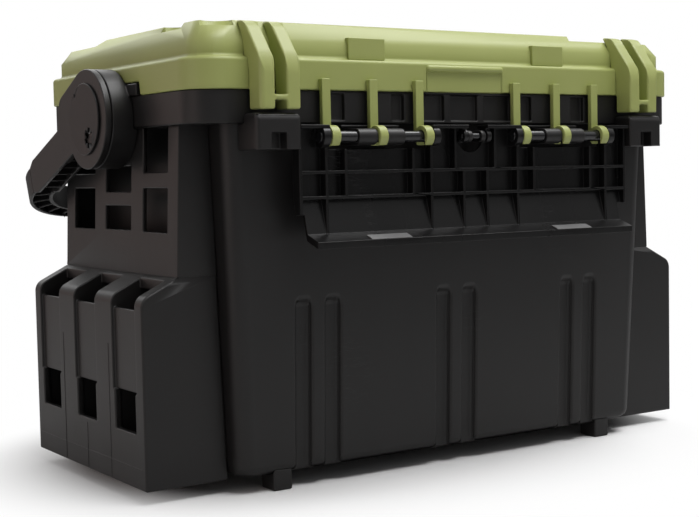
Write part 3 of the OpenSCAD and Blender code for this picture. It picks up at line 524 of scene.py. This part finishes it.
def moulded(node: str, body: Body, edging: Edging) -> bpy.types.Object:
    """Copies a CAD node and rounds its edges as a mould does.

    The copy's doubles are merged and its flat triangles joined. Each edge that turns sharply takes
    a bevel of the edging's radius, times its share.

    Args:
        node: The node that is copied and stood for.
        body: The body it rides on.
        edging: How its edges are rounded.

    Returns:
        The piece.
    """
    shape = bmesh.new()
    shape.from_mesh(bpy.data.objects[node].data)
    bmesh.ops.remove_doubles(shape, verts=shape.verts, dist=SAME_CORNER * MM)
    bmesh.ops.join_triangles(
        shape,
        faces=shape.faces,
        angle_face_threshold=math.radians(FLAT_TURN),
        angle_shape_threshold=math.radians(LOOSE_SHAPE),
    )
    shape.edges.ensure_lookup_table()
    turn = np.array([e.calc_face_angle(0.0) for e in shape.edges])
    ends = np.array([[*e.verts[0].co, *e.verts[1].co] for e in shape.edges]) / MM
    weight = np.where(turn > math.radians(edging.angle), 1.0, 0.0)
    if edging.share is not None:
        middle = (ends[:, :3] + ends[:, 3:]) / 2
        direction = ends[:, 3:] - ends[:, :3]
        direction /= np.maximum(np.linalg.norm(direction, axis=1, keepdims=True), TINY)
        weight *= edging.share(middle, direction)
    mesh = bpy.data.meshes.new(f"{node}_moulding")
    shape.to_mesh(mesh)
    shape.free()
    layer = mesh.attributes.new("bevel_weight_edge", "FLOAT", "EDGE")
    layer.data.foreach_set("value", weight.astype(np.float32))
    mesh.shade_smooth()
    piece = finished(f"{node}_moulding", mesh, body, [node])
    bevel = piece.modifiers.new("rounded_edges", "BEVEL")
    bevel.limit_method = "WEIGHT"
    bevel.width = edging.radius * MM
    bevel.segments = edging.segments
    bevel.use_clamp_overlap = False
    bevel.miter_outer = "MITER_ARC"
    flat = piece.modifiers.new("flat_faces_stay_flat", "WEIGHTED_NORMAL")
    flat.mode = "FACE_AREA"
    flat.weight = FLAT_WEIGHT
    return piece


def grid_mesh(name: str, points: np.ndarray, around: bool) -> bpy.types.Mesh:
    """Makes a mesh of a grid of points.

    Args:
        name: The mesh's name.
        points: An array of rows, columns and three coordinates.
        around: Whether the last column joins the first.

    Returns:
        The mesh, with its doubles merged and its faces outwards.
    """
    rows, columns = points.shape[:2]
    index = np.arange(rows * columns).reshape(rows, columns)
    if around:
        index = np.concatenate([index, index[:, :1]], axis=1)
    quads = np.stack(
        [index[:-1, :-1], index[:-1, 1:], index[1:, 1:], index[1:, :-1]], axis=-1
    ).reshape(-1, 4)
    mesh = bpy.data.meshes.new(name)
    mesh.from_pydata((points.reshape(-1, 3) * MM).tolist(), [], quads.tolist())
    shape = bmesh.new()
    shape.from_mesh(mesh)
    bmesh.ops.remove_doubles(shape, verts=shape.verts, dist=SAME_POINT * MM)
    bmesh.ops.recalc_face_normals(shape, faces=shape.faces)
    shape.to_mesh(mesh)
    shape.free()
    mesh.shade_smooth()
    return mesh


def unit(vector: np.ndarray) -> np.ndarray:
    """The same direction with length 1."""
    return vector / max(float(np.linalg.norm(vector)), TINY)


def rounded_profile(points: Iterable[tuple[float, float, float]], steps: int) -> np.ndarray:
    """Rounds the corners of an open outline.

    Each corner becomes an arc that touches both of its sides: with t the share of the way round,
    its points are a quadratic blend of where the arc starts, the corner and where the arc ends.

    Args:
        points: Each point's two coordinates and how far from it the rounding starts.
        steps: Steps across a rounded corner.

    Returns:
        The rounded outline as an array of points.
    """
    raw = list(points)
    made = [np.array(raw[0][:2])]
    for before, here, after in zip(raw, raw[1:], raw[2:]):
        corner = np.array(here[:2])
        start = corner + here[2] * unit(np.array(before[:2]) - corner)
        end = corner + here[2] * unit(np.array(after[:2]) - corner)
        t = np.linspace(0, 1, steps + 1)[:, None]
        blend = (1 - t) ** 2 * start + 2 * t * (1 - t) * corner + t**2 * end
        made.extend(blend if here[2] > 0 else [corner])
    made.append(np.array(raw[-1][:2]))
    return np.array(made)


def lathed(
    name: str, profile: np.ndarray, centre: tuple[float, float], steps: int
) -> bpy.types.Mesh:
    """Turns an outline about an axis along X.

    A point with distance x along the axis and radius r goes to (x, y + r cos a, z + r sin a).

    Args:
        name: The mesh's name.
        profile: Points of x and r.
        centre: Y and Z of the axis.
        steps: Number of turns of the outline.

    Returns:
        The mesh.
    """
    angle = np.linspace(0, 2 * math.pi, steps, endpoint=False)
    x = np.repeat(profile[:, 0:1], steps, axis=1)
    y = centre[0] + profile[:, 1:2] * np.cos(angle)
    z = centre[1] + profile[:, 1:2] * np.sin(angle)
    return grid_mesh(name, np.stack([x, y, z], axis=-1), True)


def bars(name: str, spans: Iterable[tuple[Place, Place, float]], steps: int) -> bpy.types.Mesh:
    """Joins straight round bars with domed ends into one mesh.

    A bar's ring at distance d along it and radius r has its points at the start plus d along the
    bar, plus r cos a along one cross direction and r sin a along the other. The radius grows from
    nothing at each end as a quarter circle.

    Args:
        name: The mesh's name.
        spans: Each bar's start, end and radius.
        steps: Points round a bar.

    Returns:
        The mesh.
    """
    angle = np.linspace(0, 2 * math.pi, steps, endpoint=False)
    dome = np.linspace(0, math.pi / 2, DOME_RINGS)
    shape = bmesh.new()
    for start, end, radius in spans:
        first, last = np.array(start, float), np.array(end, float)
        ahead = unit(last - first)
        side = unit(np.cross(ahead, ASLANT))
        over = np.cross(ahead, side)
        length = float(np.linalg.norm(last - first))
        near = radius * (1 - np.cos(dome))
        reach = np.concatenate([near, length - near[::-1]])
        wide = np.concatenate([radius * np.sin(dome), radius * np.sin(dome[::-1])])
        ring = np.cos(angle)[:, None] * side + np.sin(angle)[:, None] * over
        points = first + reach[:, None, None] * ahead + wide[:, None, None] * ring
        shape.from_mesh(grid_mesh(name, points, True))
    mesh = bpy.data.meshes.new(name)
    shape.to_mesh(mesh)
    shape.free()
    mesh.shade_smooth()
    return mesh


def runs_along(direction: np.ndarray, axis: int) -> np.ndarray:
    """Tells which edge directions run along an axis."""
    return np.abs(direction[:, axis]) > STRAIGHT


def outwards(middle: np.ndarray) -> np.ndarray:
    """Each edge's distance from the box's middle plane, front to back."""
    return np.abs(middle[:, 1] - MID_Y)


@dataclass
class Assembly:
    """What every sub-assembly shares.

    Args:
        paints: The finishes.
    """

    paints: Paints

    def keep(self, piece: bpy.types.Object, slot: Slot) -> bpy.types.Object:
        """Dresses and reports a piece.

        Args:
            piece: The piece.
            slot: The slot whose finish it takes.

        Returns:
            The piece.
        """
        self.paints.dress(piece, slot)
        log.info("made %s (%d faces)", piece.name, len(piece.data.polygons))
        return piece

    def extra(self, mesh: bpy.types.Mesh, body: Body, slot: Slot) -> bpy.types.Object:
        """Adds a small form that stands for no node, and dresses it."""
        return self.keep(finished(mesh.name, mesh, body, []), slot)

    def copy(self, node: str, body: Body, slot: Slot, edging: Edging) -> bpy.types.Object:
        """Makes a moulded copy of a node and dresses it."""
        return self.keep(moulded(node, body, edging), slot)


# ---------------------------------------------------------------- the box


@dataclass
class BoxShell(Assembly):
    """The black moulding: tub, feet, collar, frames, pods, bosses and brackets.

    A share tells how much of its piece's rounding each edge takes, by where the edge lies.

    Args:
        tub_edge: Rounding of the tub's flutes.
        tub_rest: Share of it that the tub's other edges take.
        flute_top: Height below which a tub edge belongs to a flute.
        flute_half: Distance from the box's middle within which it does.
        foot_edge: Rounding of the feet.
        collar_edge: Rounding of the rim collar and the handle's drums.
        frame_edge: Rounding of the side frames.
        frame_low: Height of the frames' seam with the pods, with the seam's own edges below it.
        frame_high: Height of the frames' seam with the collar, with the seam's own edges above it.
        pod_edge: Rounding of the pods' corners.
        pod_rest: Share of it that the pods' channels take.
        pod_side: Distance from the middle plane beyond which an edge is a pod's corner.
        pod_seam: Height of the pods' seam with the frames, with the seam's own edges above it.
        boss_edge: Rounding of the bosses' outer corners.
        boss_top_share: Share of it that the bosses' tops take.
        boss_rest: Share of it that their other edges take.
        boss_x: Distance from the box's middle beyond which an edge is a boss's outer corner.
        boss_out: Distance from the middle plane beyond which it is.
        boss_top: Height above which an edge belongs to a boss's top.
        bracket_edge: Rounding of the hinge brackets.
        line_r: Radius of the pods' parting lines.
        line_sunk: Share of that radius that the lines are sunk in the pod.
        line_low: Height of the upright lines' lower ends.
        line_tops: Each upright line's distance from the middle plane and height of its upper end.
        band_z: Height of the level line.
        band_half: Half the length of the level line.
        band_thin: Radius of the level line as a share of the others'.
        line_steps: Points round a line.
    """

    tub_edge: float = 2.2
    tub_rest: float = 0.5
    flute_top: float = 125.0
    flute_half: float = 135.0
    foot_edge: float = 1.2
    collar_edge: float = 0.8
    frame_edge: float = 0.8
    frame_low: float = 133.0
    frame_high: float = 221.5
    pod_edge: float = 1.5
    pod_rest: float = 0.65
    pod_side: float = 84.5
    pod_seam: float = 132.3
    boss_edge: float = 4.2
    boss_top_share: float = 0.55
    boss_rest: float = 0.22
    boss_x: float = 161.0
    boss_out: float = 120.0
    boss_top: float = 223.0
    bracket_edge: float = 0.5
    line_r: float = 0.4
    line_sunk: float = 0.35
    line_low: float = 9.5
    line_tops: tuple[tuple[float, float], ...] = ((-36.0, 92.0), (0.0, 38.0), (36.0, 92.0))
    band_z: float = 20.5
    band_half: float = 81.0
    band_thin: float = 0.8
    line_steps: int = 8

    def tub_share(self, middle: np.ndarray, direction: np.ndarray) -> np.ndarray:
        """Rounds the flutes' edges more than the tub's other edges."""
        flute = (middle[:, 2] < self.flute_top) & (np.abs(middle[:, 0]) < self.flute_half)
        return np.where(flute, 1.0, self.tub_rest)

    def frame_share(self, middle: np.ndarray, direction: np.ndarray) -> np.ndarray:
        """Leaves a side frame's edges that meet the pod and the collar."""
        height = middle[:, 2]
        return np.where((height < self.frame_low) | (height > self.frame_high), 0.0, 1.0)

    def pod_share(self, middle: np.ndarray, direction: np.ndarray) -> np.ndarray:
        """Leaves a pod's edges that meet the frame, and rounds its channels less."""
        rounded = np.where(outwards(middle) > self.pod_side, 1.0, self.pod_rest)
        return np.where(middle[:, 2] > self.pod_seam, 0.0, rounded)

    def boss_share(self, middle: np.ndarray, direction: np.ndarray) -> np.ndarray:
        """Rounds a boss's outer corner most and its top next.

        Args:
            middle: The edges' middles.
            direction: The edges' directions.

        Returns:
            Each edge's share.
        """
        far = (np.abs(middle[:, 0]) > self.boss_x) & (outwards(middle) > self.boss_out)
        top = middle[:, 2] > self.boss_top
        low = np.where(top, self.boss_top_share, self.boss_rest)
        return np.where(far & runs_along(direction, 2), 1.0, low)

    def parting_lines(self, name: str, way: float) -> bpy.types.Mesh:
        """The fine raised lines that the mould's inserts leave on a pod's lower face.

        Args:
            name: The mesh's name.
            way: -1 for the left end and 1 for the right end.

        Returns:
            The mesh.
        """
        x = way * (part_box("rod_pod_right")[1].x / MM - self.line_r * self.line_sunk)
        lines = [
            ((x, MID_Y + y, self.line_low), (x, MID_Y + y, top), self.line_r)
            for y, top in self.line_tops
        ]
        ends = [(x, MID_Y + half, self.band_z) for half in (-self.band_half, self.band_half)]
        lines.append((*ends, self.line_r * self.band_thin))
        return bars(name, lines, self.line_steps)

    def build(self) -> None:
        """Makes every piece of the moulding."""
        collar = Edging(self.collar_edge)
        frame = Edging(self.frame_edge, share=self.frame_share)
        pod = Edging(self.pod_edge, 3, share=self.pod_share)
        boss = Edging(self.boss_edge, 4, share=self.boss_share)
        bracket = Edging(self.bracket_edge)
        self.copy("tub", Body.BOX, Slot.BLACK, Edging(self.tub_edge, 4, share=self.tub_share))
        self.copy("feet", Body.BOX, Slot.BLACK, Edging(self.foot_edge, 3))
        self.copy("rim_collar", Body.BOX, Slot.BLACK, collar)
        for side in ("left", "right"):
            self.copy(f"side_frame_{side}", Body.BOX, Slot.BLACK, frame)
            self.copy(f"rod_pod_{side}", Body.BOX, Slot.BLACK, pod)
            self.copy(f"handle_drum_{side}", Body.BOX, Slot.BLACK, collar)
        for side in ("front", "rear"):
            self.copy(f"{side}_strap_bosses", Body.BOX, Slot.BLACK, boss)
            self.copy(f"{side}_hinge_brackets", Body.BOX, Slot.BLACK, bracket)
        for side, way in (("left", -1.0), ("right", 1.0)):
            self.extra(self.parting_lines(f"pod_lines_{side}", way), Body.BOX, Slot.BLACK)


@dataclass
class Hardware(Assembly):
    """The hinge rods, clip rods and pivot pins.

    Args:
        rod_r: Radius of a hinge rod.
        rod_round: How far from its ends a hinge rod's rounding starts.
        clip_r: Radius of a clip rod.
        clip_round: How far from its ends a clip rod's rounding starts.
        round_steps: Steps across a rounded rod end.
        rod_steps: Points round a rod.
        pin_edge: Rounding of the pivot pins.
    """

    rod_r: float = 3.6
    rod_round: float = 0.8
    clip_r: float = 2.0
    clip_round: float = 0.5
    round_steps: int = 4
    rod_steps: int = 32
    pin_edge: float = 0.3

    def rod(self, node: str, radius: float, rounding: float) -> None:
        """Makes one rod with rounded ends along its node's box.

        Args:
            node: The node that it stands for.
            radius: Its radius.
            rounding: How far from each end the rounding starts.
        """
        low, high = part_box(node)
        x0, x1 = low.x / MM, high.x / MM
        centre = ((low.y + high.y) / 2 / MM, (low.z + high.z) / 2 / MM)
        outline = [(x0, 0, 0), (x0, radius, rounding), (x1, radius, rounding), (x1, 0, 0)]
        profile = rounded_profile(outline, self.round_steps)
        mesh = lathed(f"{node}_turned", profile, centre, self.rod_steps)
        self.keep(finished(f"{node}_turned", mesh, Body.BOX, [node]), Slot.ROD)

    def build(self) -> None:
        """Makes every rod and pin."""
        for side in ("front", "rear"):
            self.rod(f"{side}_clip_rod", self.clip_r, self.clip_round)
            for end in ("left", "right"):
                self.rod(f"{side}_rod_{end}", self.rod_r, self.rod_round)
        for end in ("left", "right"):
            self.copy(f"pivot_pin_{end}", Body.BOX, Slot.PIN, Edging(self.pin_edge))


@dataclass
class LatchFlaps(Assembly):
    """The two latch flaps with their catch strips.

    Args:
        flap_edge: Rounding of a flap.
        strip_edge: Rounding of its catch strips.
    """

    flap_edge: float = 0.35
    strip_edge: float = 0.2

    def build(self) -> None:
        """Makes both flaps."""
        for side, body in (("front", Body.FRONT_FLAP), ("rear", Body.REAR_FLAP)):
            self.copy(f"{side}_flap", body, Slot.BLACK, Edging(self.flap_edge))
            self.copy(f"{side}_catch_strips", body, Slot.STRIP, Edging(self.strip_edge))


@dataclass
class Lid(Assembly):
    """The olive lid with its hooks, tabs and strap loops.

    Args:
        rim_edge: Rounding of the rim's upper edge.
        rim_turn: Lid edges that turn by more than this many degrees are rounded.
        rim_rest: Share of the rounding that the rim's lower edges take.
        ledge_z: Height of the rim's upper edge.
        ledge_band: How far from that height an edge still belongs to it.
        ledge_rise: Edges with less than this upright share are level.
        tier_z: Height above which the lid's edges belong to its tier and stay as they are.
        tab_edge: Rounding of the catch tabs.
        hook_edge: Rounding of the hooks.
        loop_edge: Rounding of a strap loop's crown.
        loop_corner: Share of it that a loop's outer corner takes.
        loop_rest: Share of it that a loop's other edges take.
        crown_out: Distance from the middle plane beyond which a level edge is a loop's crown.
        crown_z: Height above which it is.
        corner_x: Distance from the box's middle beyond which an edge is a loop's outer corner.
        corner_out: Distance from the middle plane beyond which it is.
        ridge_half: Half the length of the ridge over a catch panel.
        ridge_out: Distance of the ridge from the middle plane.
        ridge_z: Height of the ridge.
        ridge_r: Radius of the ridge.
        ridge_steps: Points round the ridge.
    """

    rim_edge: float = 2.4
    rim_turn: float = 25.0
    rim_rest: float = 0.4
    ledge_z: float = 260.5
    ledge_band: float = 0.6
    ledge_rise: float = 0.3
    tier_z: float = 262.0
    tab_edge: float = 0.6
    hook_edge: float = 0.5
    loop_edge: float = 8.0
    loop_corner: float = 0.42
    loop_rest: float = 0.17
    crown_out: float = 109.0
    crown_z: float = 246.0
    corner_x: float = 158.0
    corner_out: float = 120.0
    ridge_half: float = 31.0
    ridge_out: float = 114.8
    ridge_z: float = 256.6
    ridge_r: float = 2.1
    ridge_steps: int = 20

    def lid_share(self, middle: np.ndarray, direction: np.ndarray) -> np.ndarray:
        """Rounds the rim's upper edge most and its lower edges less, and leaves the tier as it is.

        Args:
            middle: The edges' middles.
            direction: The edges' directions.

        Returns:
            Each edge's share.
        """
        level = np.abs(direction[:, 2]) < self.ledge_rise
        ledge = level & (np.abs(middle[:, 2] - self.ledge_z) < self.ledge_band)
        return np.where(ledge, 1.0, np.where(middle[:, 2] > self.tier_z, 0.0, self.rim_rest))

    def loop_share(self, middle: np.ndarray, direction: np.ndarray) -> np.ndarray:
        """Rounds a strap loop's top and knee most, its outer corner less, and the rest a little.

        Args:
            middle: The edges' middles.
            direction: The edges' directions.

        Returns:
            Each edge's share.
        """
        out = outwards(middle)
        crown = runs_along(direction, 0) & (out > self.crown_out) & (middle[:, 2] > self.crown_z)
        far = (np.abs(middle[:, 0]) > self.corner_x) & (out > self.corner_out)
        corner = runs_along(direction, 2) & far
        return np.where(crown, 1.0, np.where(corner, self.loop_corner, self.loop_rest))

    def ridges(self) -> bpy.types.Mesh:
        """The round ridge over the catch panel on each long side.

        Returns:
            The mesh.
        """
        spans = []
        for way in (-1, 1):
            y = MID_Y + way * self.ridge_out
            ends = [(half, y, self.ridge_z) for half in (-self.ridge_half, self.ridge_half)]
            spans.append((*ends, self.ridge_r))
        return bars("catch_ridges", spans, self.ridge_steps)

    def build(self) -> None:
        """Makes every piece of the lid."""
        shell = Edging(self.rim_edge, 4, self.rim_turn, self.lid_share)
        loop = Edging(self.loop_edge, 5, share=self.loop_share)
        self.copy("lid_shell", Body.LID, Slot.OLIVE, shell)
        self.copy("lid_catch_tabs", Body.LID, Slot.OLIVE, Edging(self.tab_edge))
        self.extra(self.ridges(), Body.LID, Slot.OLIVE)
        for side in ("front", "rear"):
            self.copy(f"{side}_lid_hooks", Body.LID, Slot.OLIVE, Edging(self.hook_edge))
            for end in ("left", "right"):
                self.copy(f"strap_loop_{side}_{end}", Body.LID, Slot.OLIVE, loop)


@dataclass
class Handle(Assembly):
    """The swing handle with its discs and covers.

    Args:
        bail_edge: Rounding of the grip, the corners and the arms.
        cover_edge: Rounding of the covers' outer edges.
        pivot_z: Height of the handle's pivot.
        pit_r: Radius about the pivot within which a cover's edges stay crisp.
    """

    bail_edge: float = 0.7
    cover_edge: float = 0.4
    pivot_z: float = 228.7
    pit_r: float = 21.0

    def cover_share(self, middle: np.ndarray, direction: np.ndarray) -> np.ndarray:
        """Rounds a cover's outer edge and leaves its star-shaped hole and its pit crisp."""
        reach = np.hypot(middle[:, 1] - MID_Y, middle[:, 2] - self.pivot_z)
        return np.where(reach > self.pit_r, 1.0, 0.0)

    def build(self) -> None:
        """Makes every piece of the handle."""
        bail = Edging(self.bail_edge)
        cover = Edging(self.cover_edge, share=self.cover_share)
        self.copy("handle_grip", Body.HANDLE, Slot.BLACK, bail)
        for end in ("left", "right"):
            self.copy(f"handle_corner_{end}", Body.HANDLE, Slot.BLACK, bail)
            self.copy(f"handle_arm_{end}", Body.HANDLE, Slot.BLACK, bail)
            self.copy(f"pivot_cover_{end}", Body.HANDLE, Slot.COVER, cover)


# ---------------------------------------------------------------- the studio


@dataclass(frozen=True)
class Lamp:
    """A soft lamp.

    Args:
        name: The lamp's name.
        place: Where it stands, in metres.
        size: Its width and height, in metres.
        power: Its power in watts.
        colour: Its colour.
    """

    name: str
    place: Place
    size: tuple[float, float]
    power: float
    colour: Colour = (1.0, 1.0, 1.0)

    def hang(self, target: Place) -> None:
        """Adds the lamp to the scene, facing a point.

        Args:
            target: The point, in metres.
        """
        data = bpy.data.lights.new(self.name, "AREA")
        data.shape = "RECTANGLE"
        data.size, data.size_y = self.size
        data.energy = self.power
        data.color = self.colour
        lamp = bpy.data.objects.new(self.name, data)
        bpy.context.scene.collection.objects.link(lamp)
        lamp.location = self.place
        aim = Vector(target) - Vector(self.place)
        lamp.rotation_euler = aim.to_track_quat("-Z", "Y").to_euler()


LAMPS = (
    Lamp("overhead", (0.4, -0.42, 1.6), (1.8, 0.8), 29.0),
    Lamp("back_edge", (0.2, 1.5, 1.15), (2.0, 0.7), 8.0),
    Lamp("front_fill", (0.25, -2.2, 0.75), (1.5, 1.2), 0.6),
    Lamp("left_warm", (-1.9, -0.2, 0.5), (1.0, 1.0), 3.2, (1.0, 0.8, 0.74)),
    Lamp("back_left_warm", (-1.5, 1.5, 0.4), (1.4, 0.9), 2.4, (1.0, 0.7, 0.63)),
)


@dataclass
class Studio:
    """The camera, the lamps, the pale floor and the white background.

    Args:
        eye: Where the camera stands.
        yaw: How far the camera is turned from +Y towards +X, in degrees.
        pitch: How far it looks down, in degrees.
        roll: How far it leans, in degrees.
        lens: Its focal length.
        sensor: Its sensor's width.
        near: Where its view starts, in metres.
        target: The point that the lamps face, in metres.
        dim_light: The world's level as light on the box.
        horizon: The world's level in reflections at the horizon.
        clearing: The upward shares between which reflections grow to white.
        floor_half: Half the floor's width.
        floor_drop: How far the floor lies under the feet.
        floor_lit: The floor's grey as light finds it.
        floor_seen: The floor's grey as the camera sees it.
        floor_rough: The floor's roughness.
        floor_shine: The floor's specular level.
        fade_shape: How much sooner the floor fades along each axis.
        fade_span: The distances between which it fades to white, in metres.
    """

    eye: Place = (-549.9, -814.7, 193.7)
    yaw: float = 33.49
    pitch: float = 3.70
    roll: float = -1.15
    lens: float = 70.37
    sensor: float = 36.0
    near: float = 0.01
    target: Place = (0.0, 0.0, 0.15)
    dim_light: float = 0.16
    horizon: float = 0.13
    clearing: tuple[float, float] = (0.05, 0.75)
    floor_half: float = 6000.0
    floor_drop: float = 0.05
    floor_lit: float = 0.68
    floor_seen: float = 0.96
    floor_rough: float = 0.9
    floor_shine: float = 0.1
    fade_shape: Place = (1.25, 1.6, 0.0)
    fade_span: tuple[float, float] = (0.24, 0.39)

    def camera(self) -> None:
        """Sets the camera to the photograph's viewpoint.

        The camera looks along (sin yaw cos pitch, cos yaw cos pitch, -sin pitch). Its side and up
        directions lie across that, and are turned about it by the roll.
        """
        yaw, pitch, roll = (math.radians(v) for v in (self.yaw, self.pitch, self.roll))
        level = math.cos(pitch)
        ahead = Vector((math.sin(yaw) * level, math.cos(yaw) * level, -math.sin(pitch)))
        side = Vector((math.cos(yaw), -math.sin(yaw), 0.0))
        up = side.cross(ahead)
        turned_side = math.cos(roll) * side + math.sin(roll) * up
        turned_up = math.cos(roll) * up - math.sin(roll) * side
        data = bpy.data.cameras.new("camera")
        data.lens = self.lens
        data.sensor_width = self.sensor
        data.clip_start = self.near
        camera = bpy.data.objects.new("camera", data)
        bpy.context.scene.collection.objects.link(camera)
        turn = Matrix((turned_side, turned_up, -ahead)).transposed().to_4x4()
        camera.matrix_world = Matrix.Translation(Vector(self.eye) * MM) @ turn
        bpy.context.scene.camera = camera

    def world(self) -> None:
        """Makes the background.

        It is white to the camera and through clear pieces. Reflections see it white overhead and
        darker towards the horizon, and as light on the box it is dim.
        """
        world = bpy.data.worlds.new("studio")
        bpy.context.scene.world = world
        world.use_nodes = True
        wiring = Wiring(world.node_tree)
        world.node_tree.nodes.clear()
        path = wiring.add("LightPath").outputs
        height = wiring.add("SeparateXYZ")
        wiring.join(wiring.add("TexCoord").outputs["Generated"], height.inputs[0])
        mirrored = wiring.rise(height.outputs["Z"], self.clearing, self.horizon)
        dim = wiring.mix(Blend.NUMBERS, path["Is Glossy Ray"], self.dim_light, mirrored)
        seen = wiring.maths("MAXIMUM", path["Is Camera Ray"], path["Is Transmission Ray"])
        shade = wiring.add("Background", Color=(1.0, 1.0, 1.0, 1.0))
        wiring.join(wiring.mix(Blend.NUMBERS, seen, dim, 1.0), shade.inputs["Strength"])
        wiring.join(shade.outputs[0], wiring.add("OutputWorld").inputs[0])

    def floor_paint(self) -> bpy.types.Material:
        """Makes the floor's material.

        It is a plain pale grey that keeps the shadow. For the camera it fades to a white glow by
        the distance from the box, with each axis stretched by its own amount.

        Returns:
            The material.
        """
        material = bpy.data.materials.new("pale_floor")
        material.use_nodes = True
        wiring = Wiring(material.node_tree)
        shader = material.node_tree.nodes["Principled BSDF"]
        shader.inputs["Roughness"].default_value = self.floor_rough
        shader.inputs["Specular IOR Level"].default_value = self.floor_shine
        camera_only = wiring.add("LightPath").outputs["Is Camera Ray"]
        lit, seen = ((grey, grey, grey, 1.0) for grey in (self.floor_lit, self.floor_seen))
        tone = wiring.mix(Blend.COLOURS, camera_only, lit, seen)
        wiring.join(tone, shader.inputs["Base Color"])
        stretched = wiring.add("VectorMath", operation="MULTIPLY")
        stretched.inputs[1].default_value = self.fade_shape
        wiring.join(wiring.add("NewGeometry").outputs["Position"], stretched.inputs[0])
        far = wiring.add("VectorMath", operation="LENGTH")
        wiring.join(stretched.outputs[0], far.inputs[0])
        faded = wiring.rise(far.outputs["Value"], self.fade_span)
        glow = wiring.add("Emission", Color=(1.0, 1.0, 1.0, 1.0))
        blend = wiring.add("MixShader")
        wiring.join(wiring.maths("MULTIPLY", faded, camera_only), blend.inputs[0])
        wiring.join(shader.outputs[0], blend.inputs[1])
        wiring.join(glow.outputs[0], blend.inputs[2])
        wiring.join(blend.outputs[0], material.node_tree.nodes["Material Output"].inputs[0])
        return material

    def floor(self) -> None:
        """Lays a pale floor just under the feet."""
        ends = (-self.floor_half, self.floor_half)
        square = np.array([[[x, y, -self.floor_drop] for x in ends] for y in ends], float)
        mesh = grid_mesh("floor", square, False)
        floor = bpy.data.objects.new("floor", mesh)
        bpy.context.scene.collection.objects.link(floor)
        mesh.materials.append(self.floor_paint())

    def build(self) -> None:
        """Sets up everything round the box."""
        bpy.context.scene.view_settings.view_transform = "Standard"
        self.camera()
        for lamp in LAMPS:
            lamp.hang(self.target)
        self.world()
        self.floor()


def main() -> None:
    """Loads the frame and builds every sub-assembly."""
    logging.basicConfig(level=logging.INFO, format="%(name)s: %(message)s")
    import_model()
    paints = Paints()
    Studio().build()
    for assembly in (BoxShell, Hardware, LatchFlaps, Lid, Handle):
        assembly(paints).build()
    bpy.context.view_layer.update()


if __name__ == "__main__":
    main()
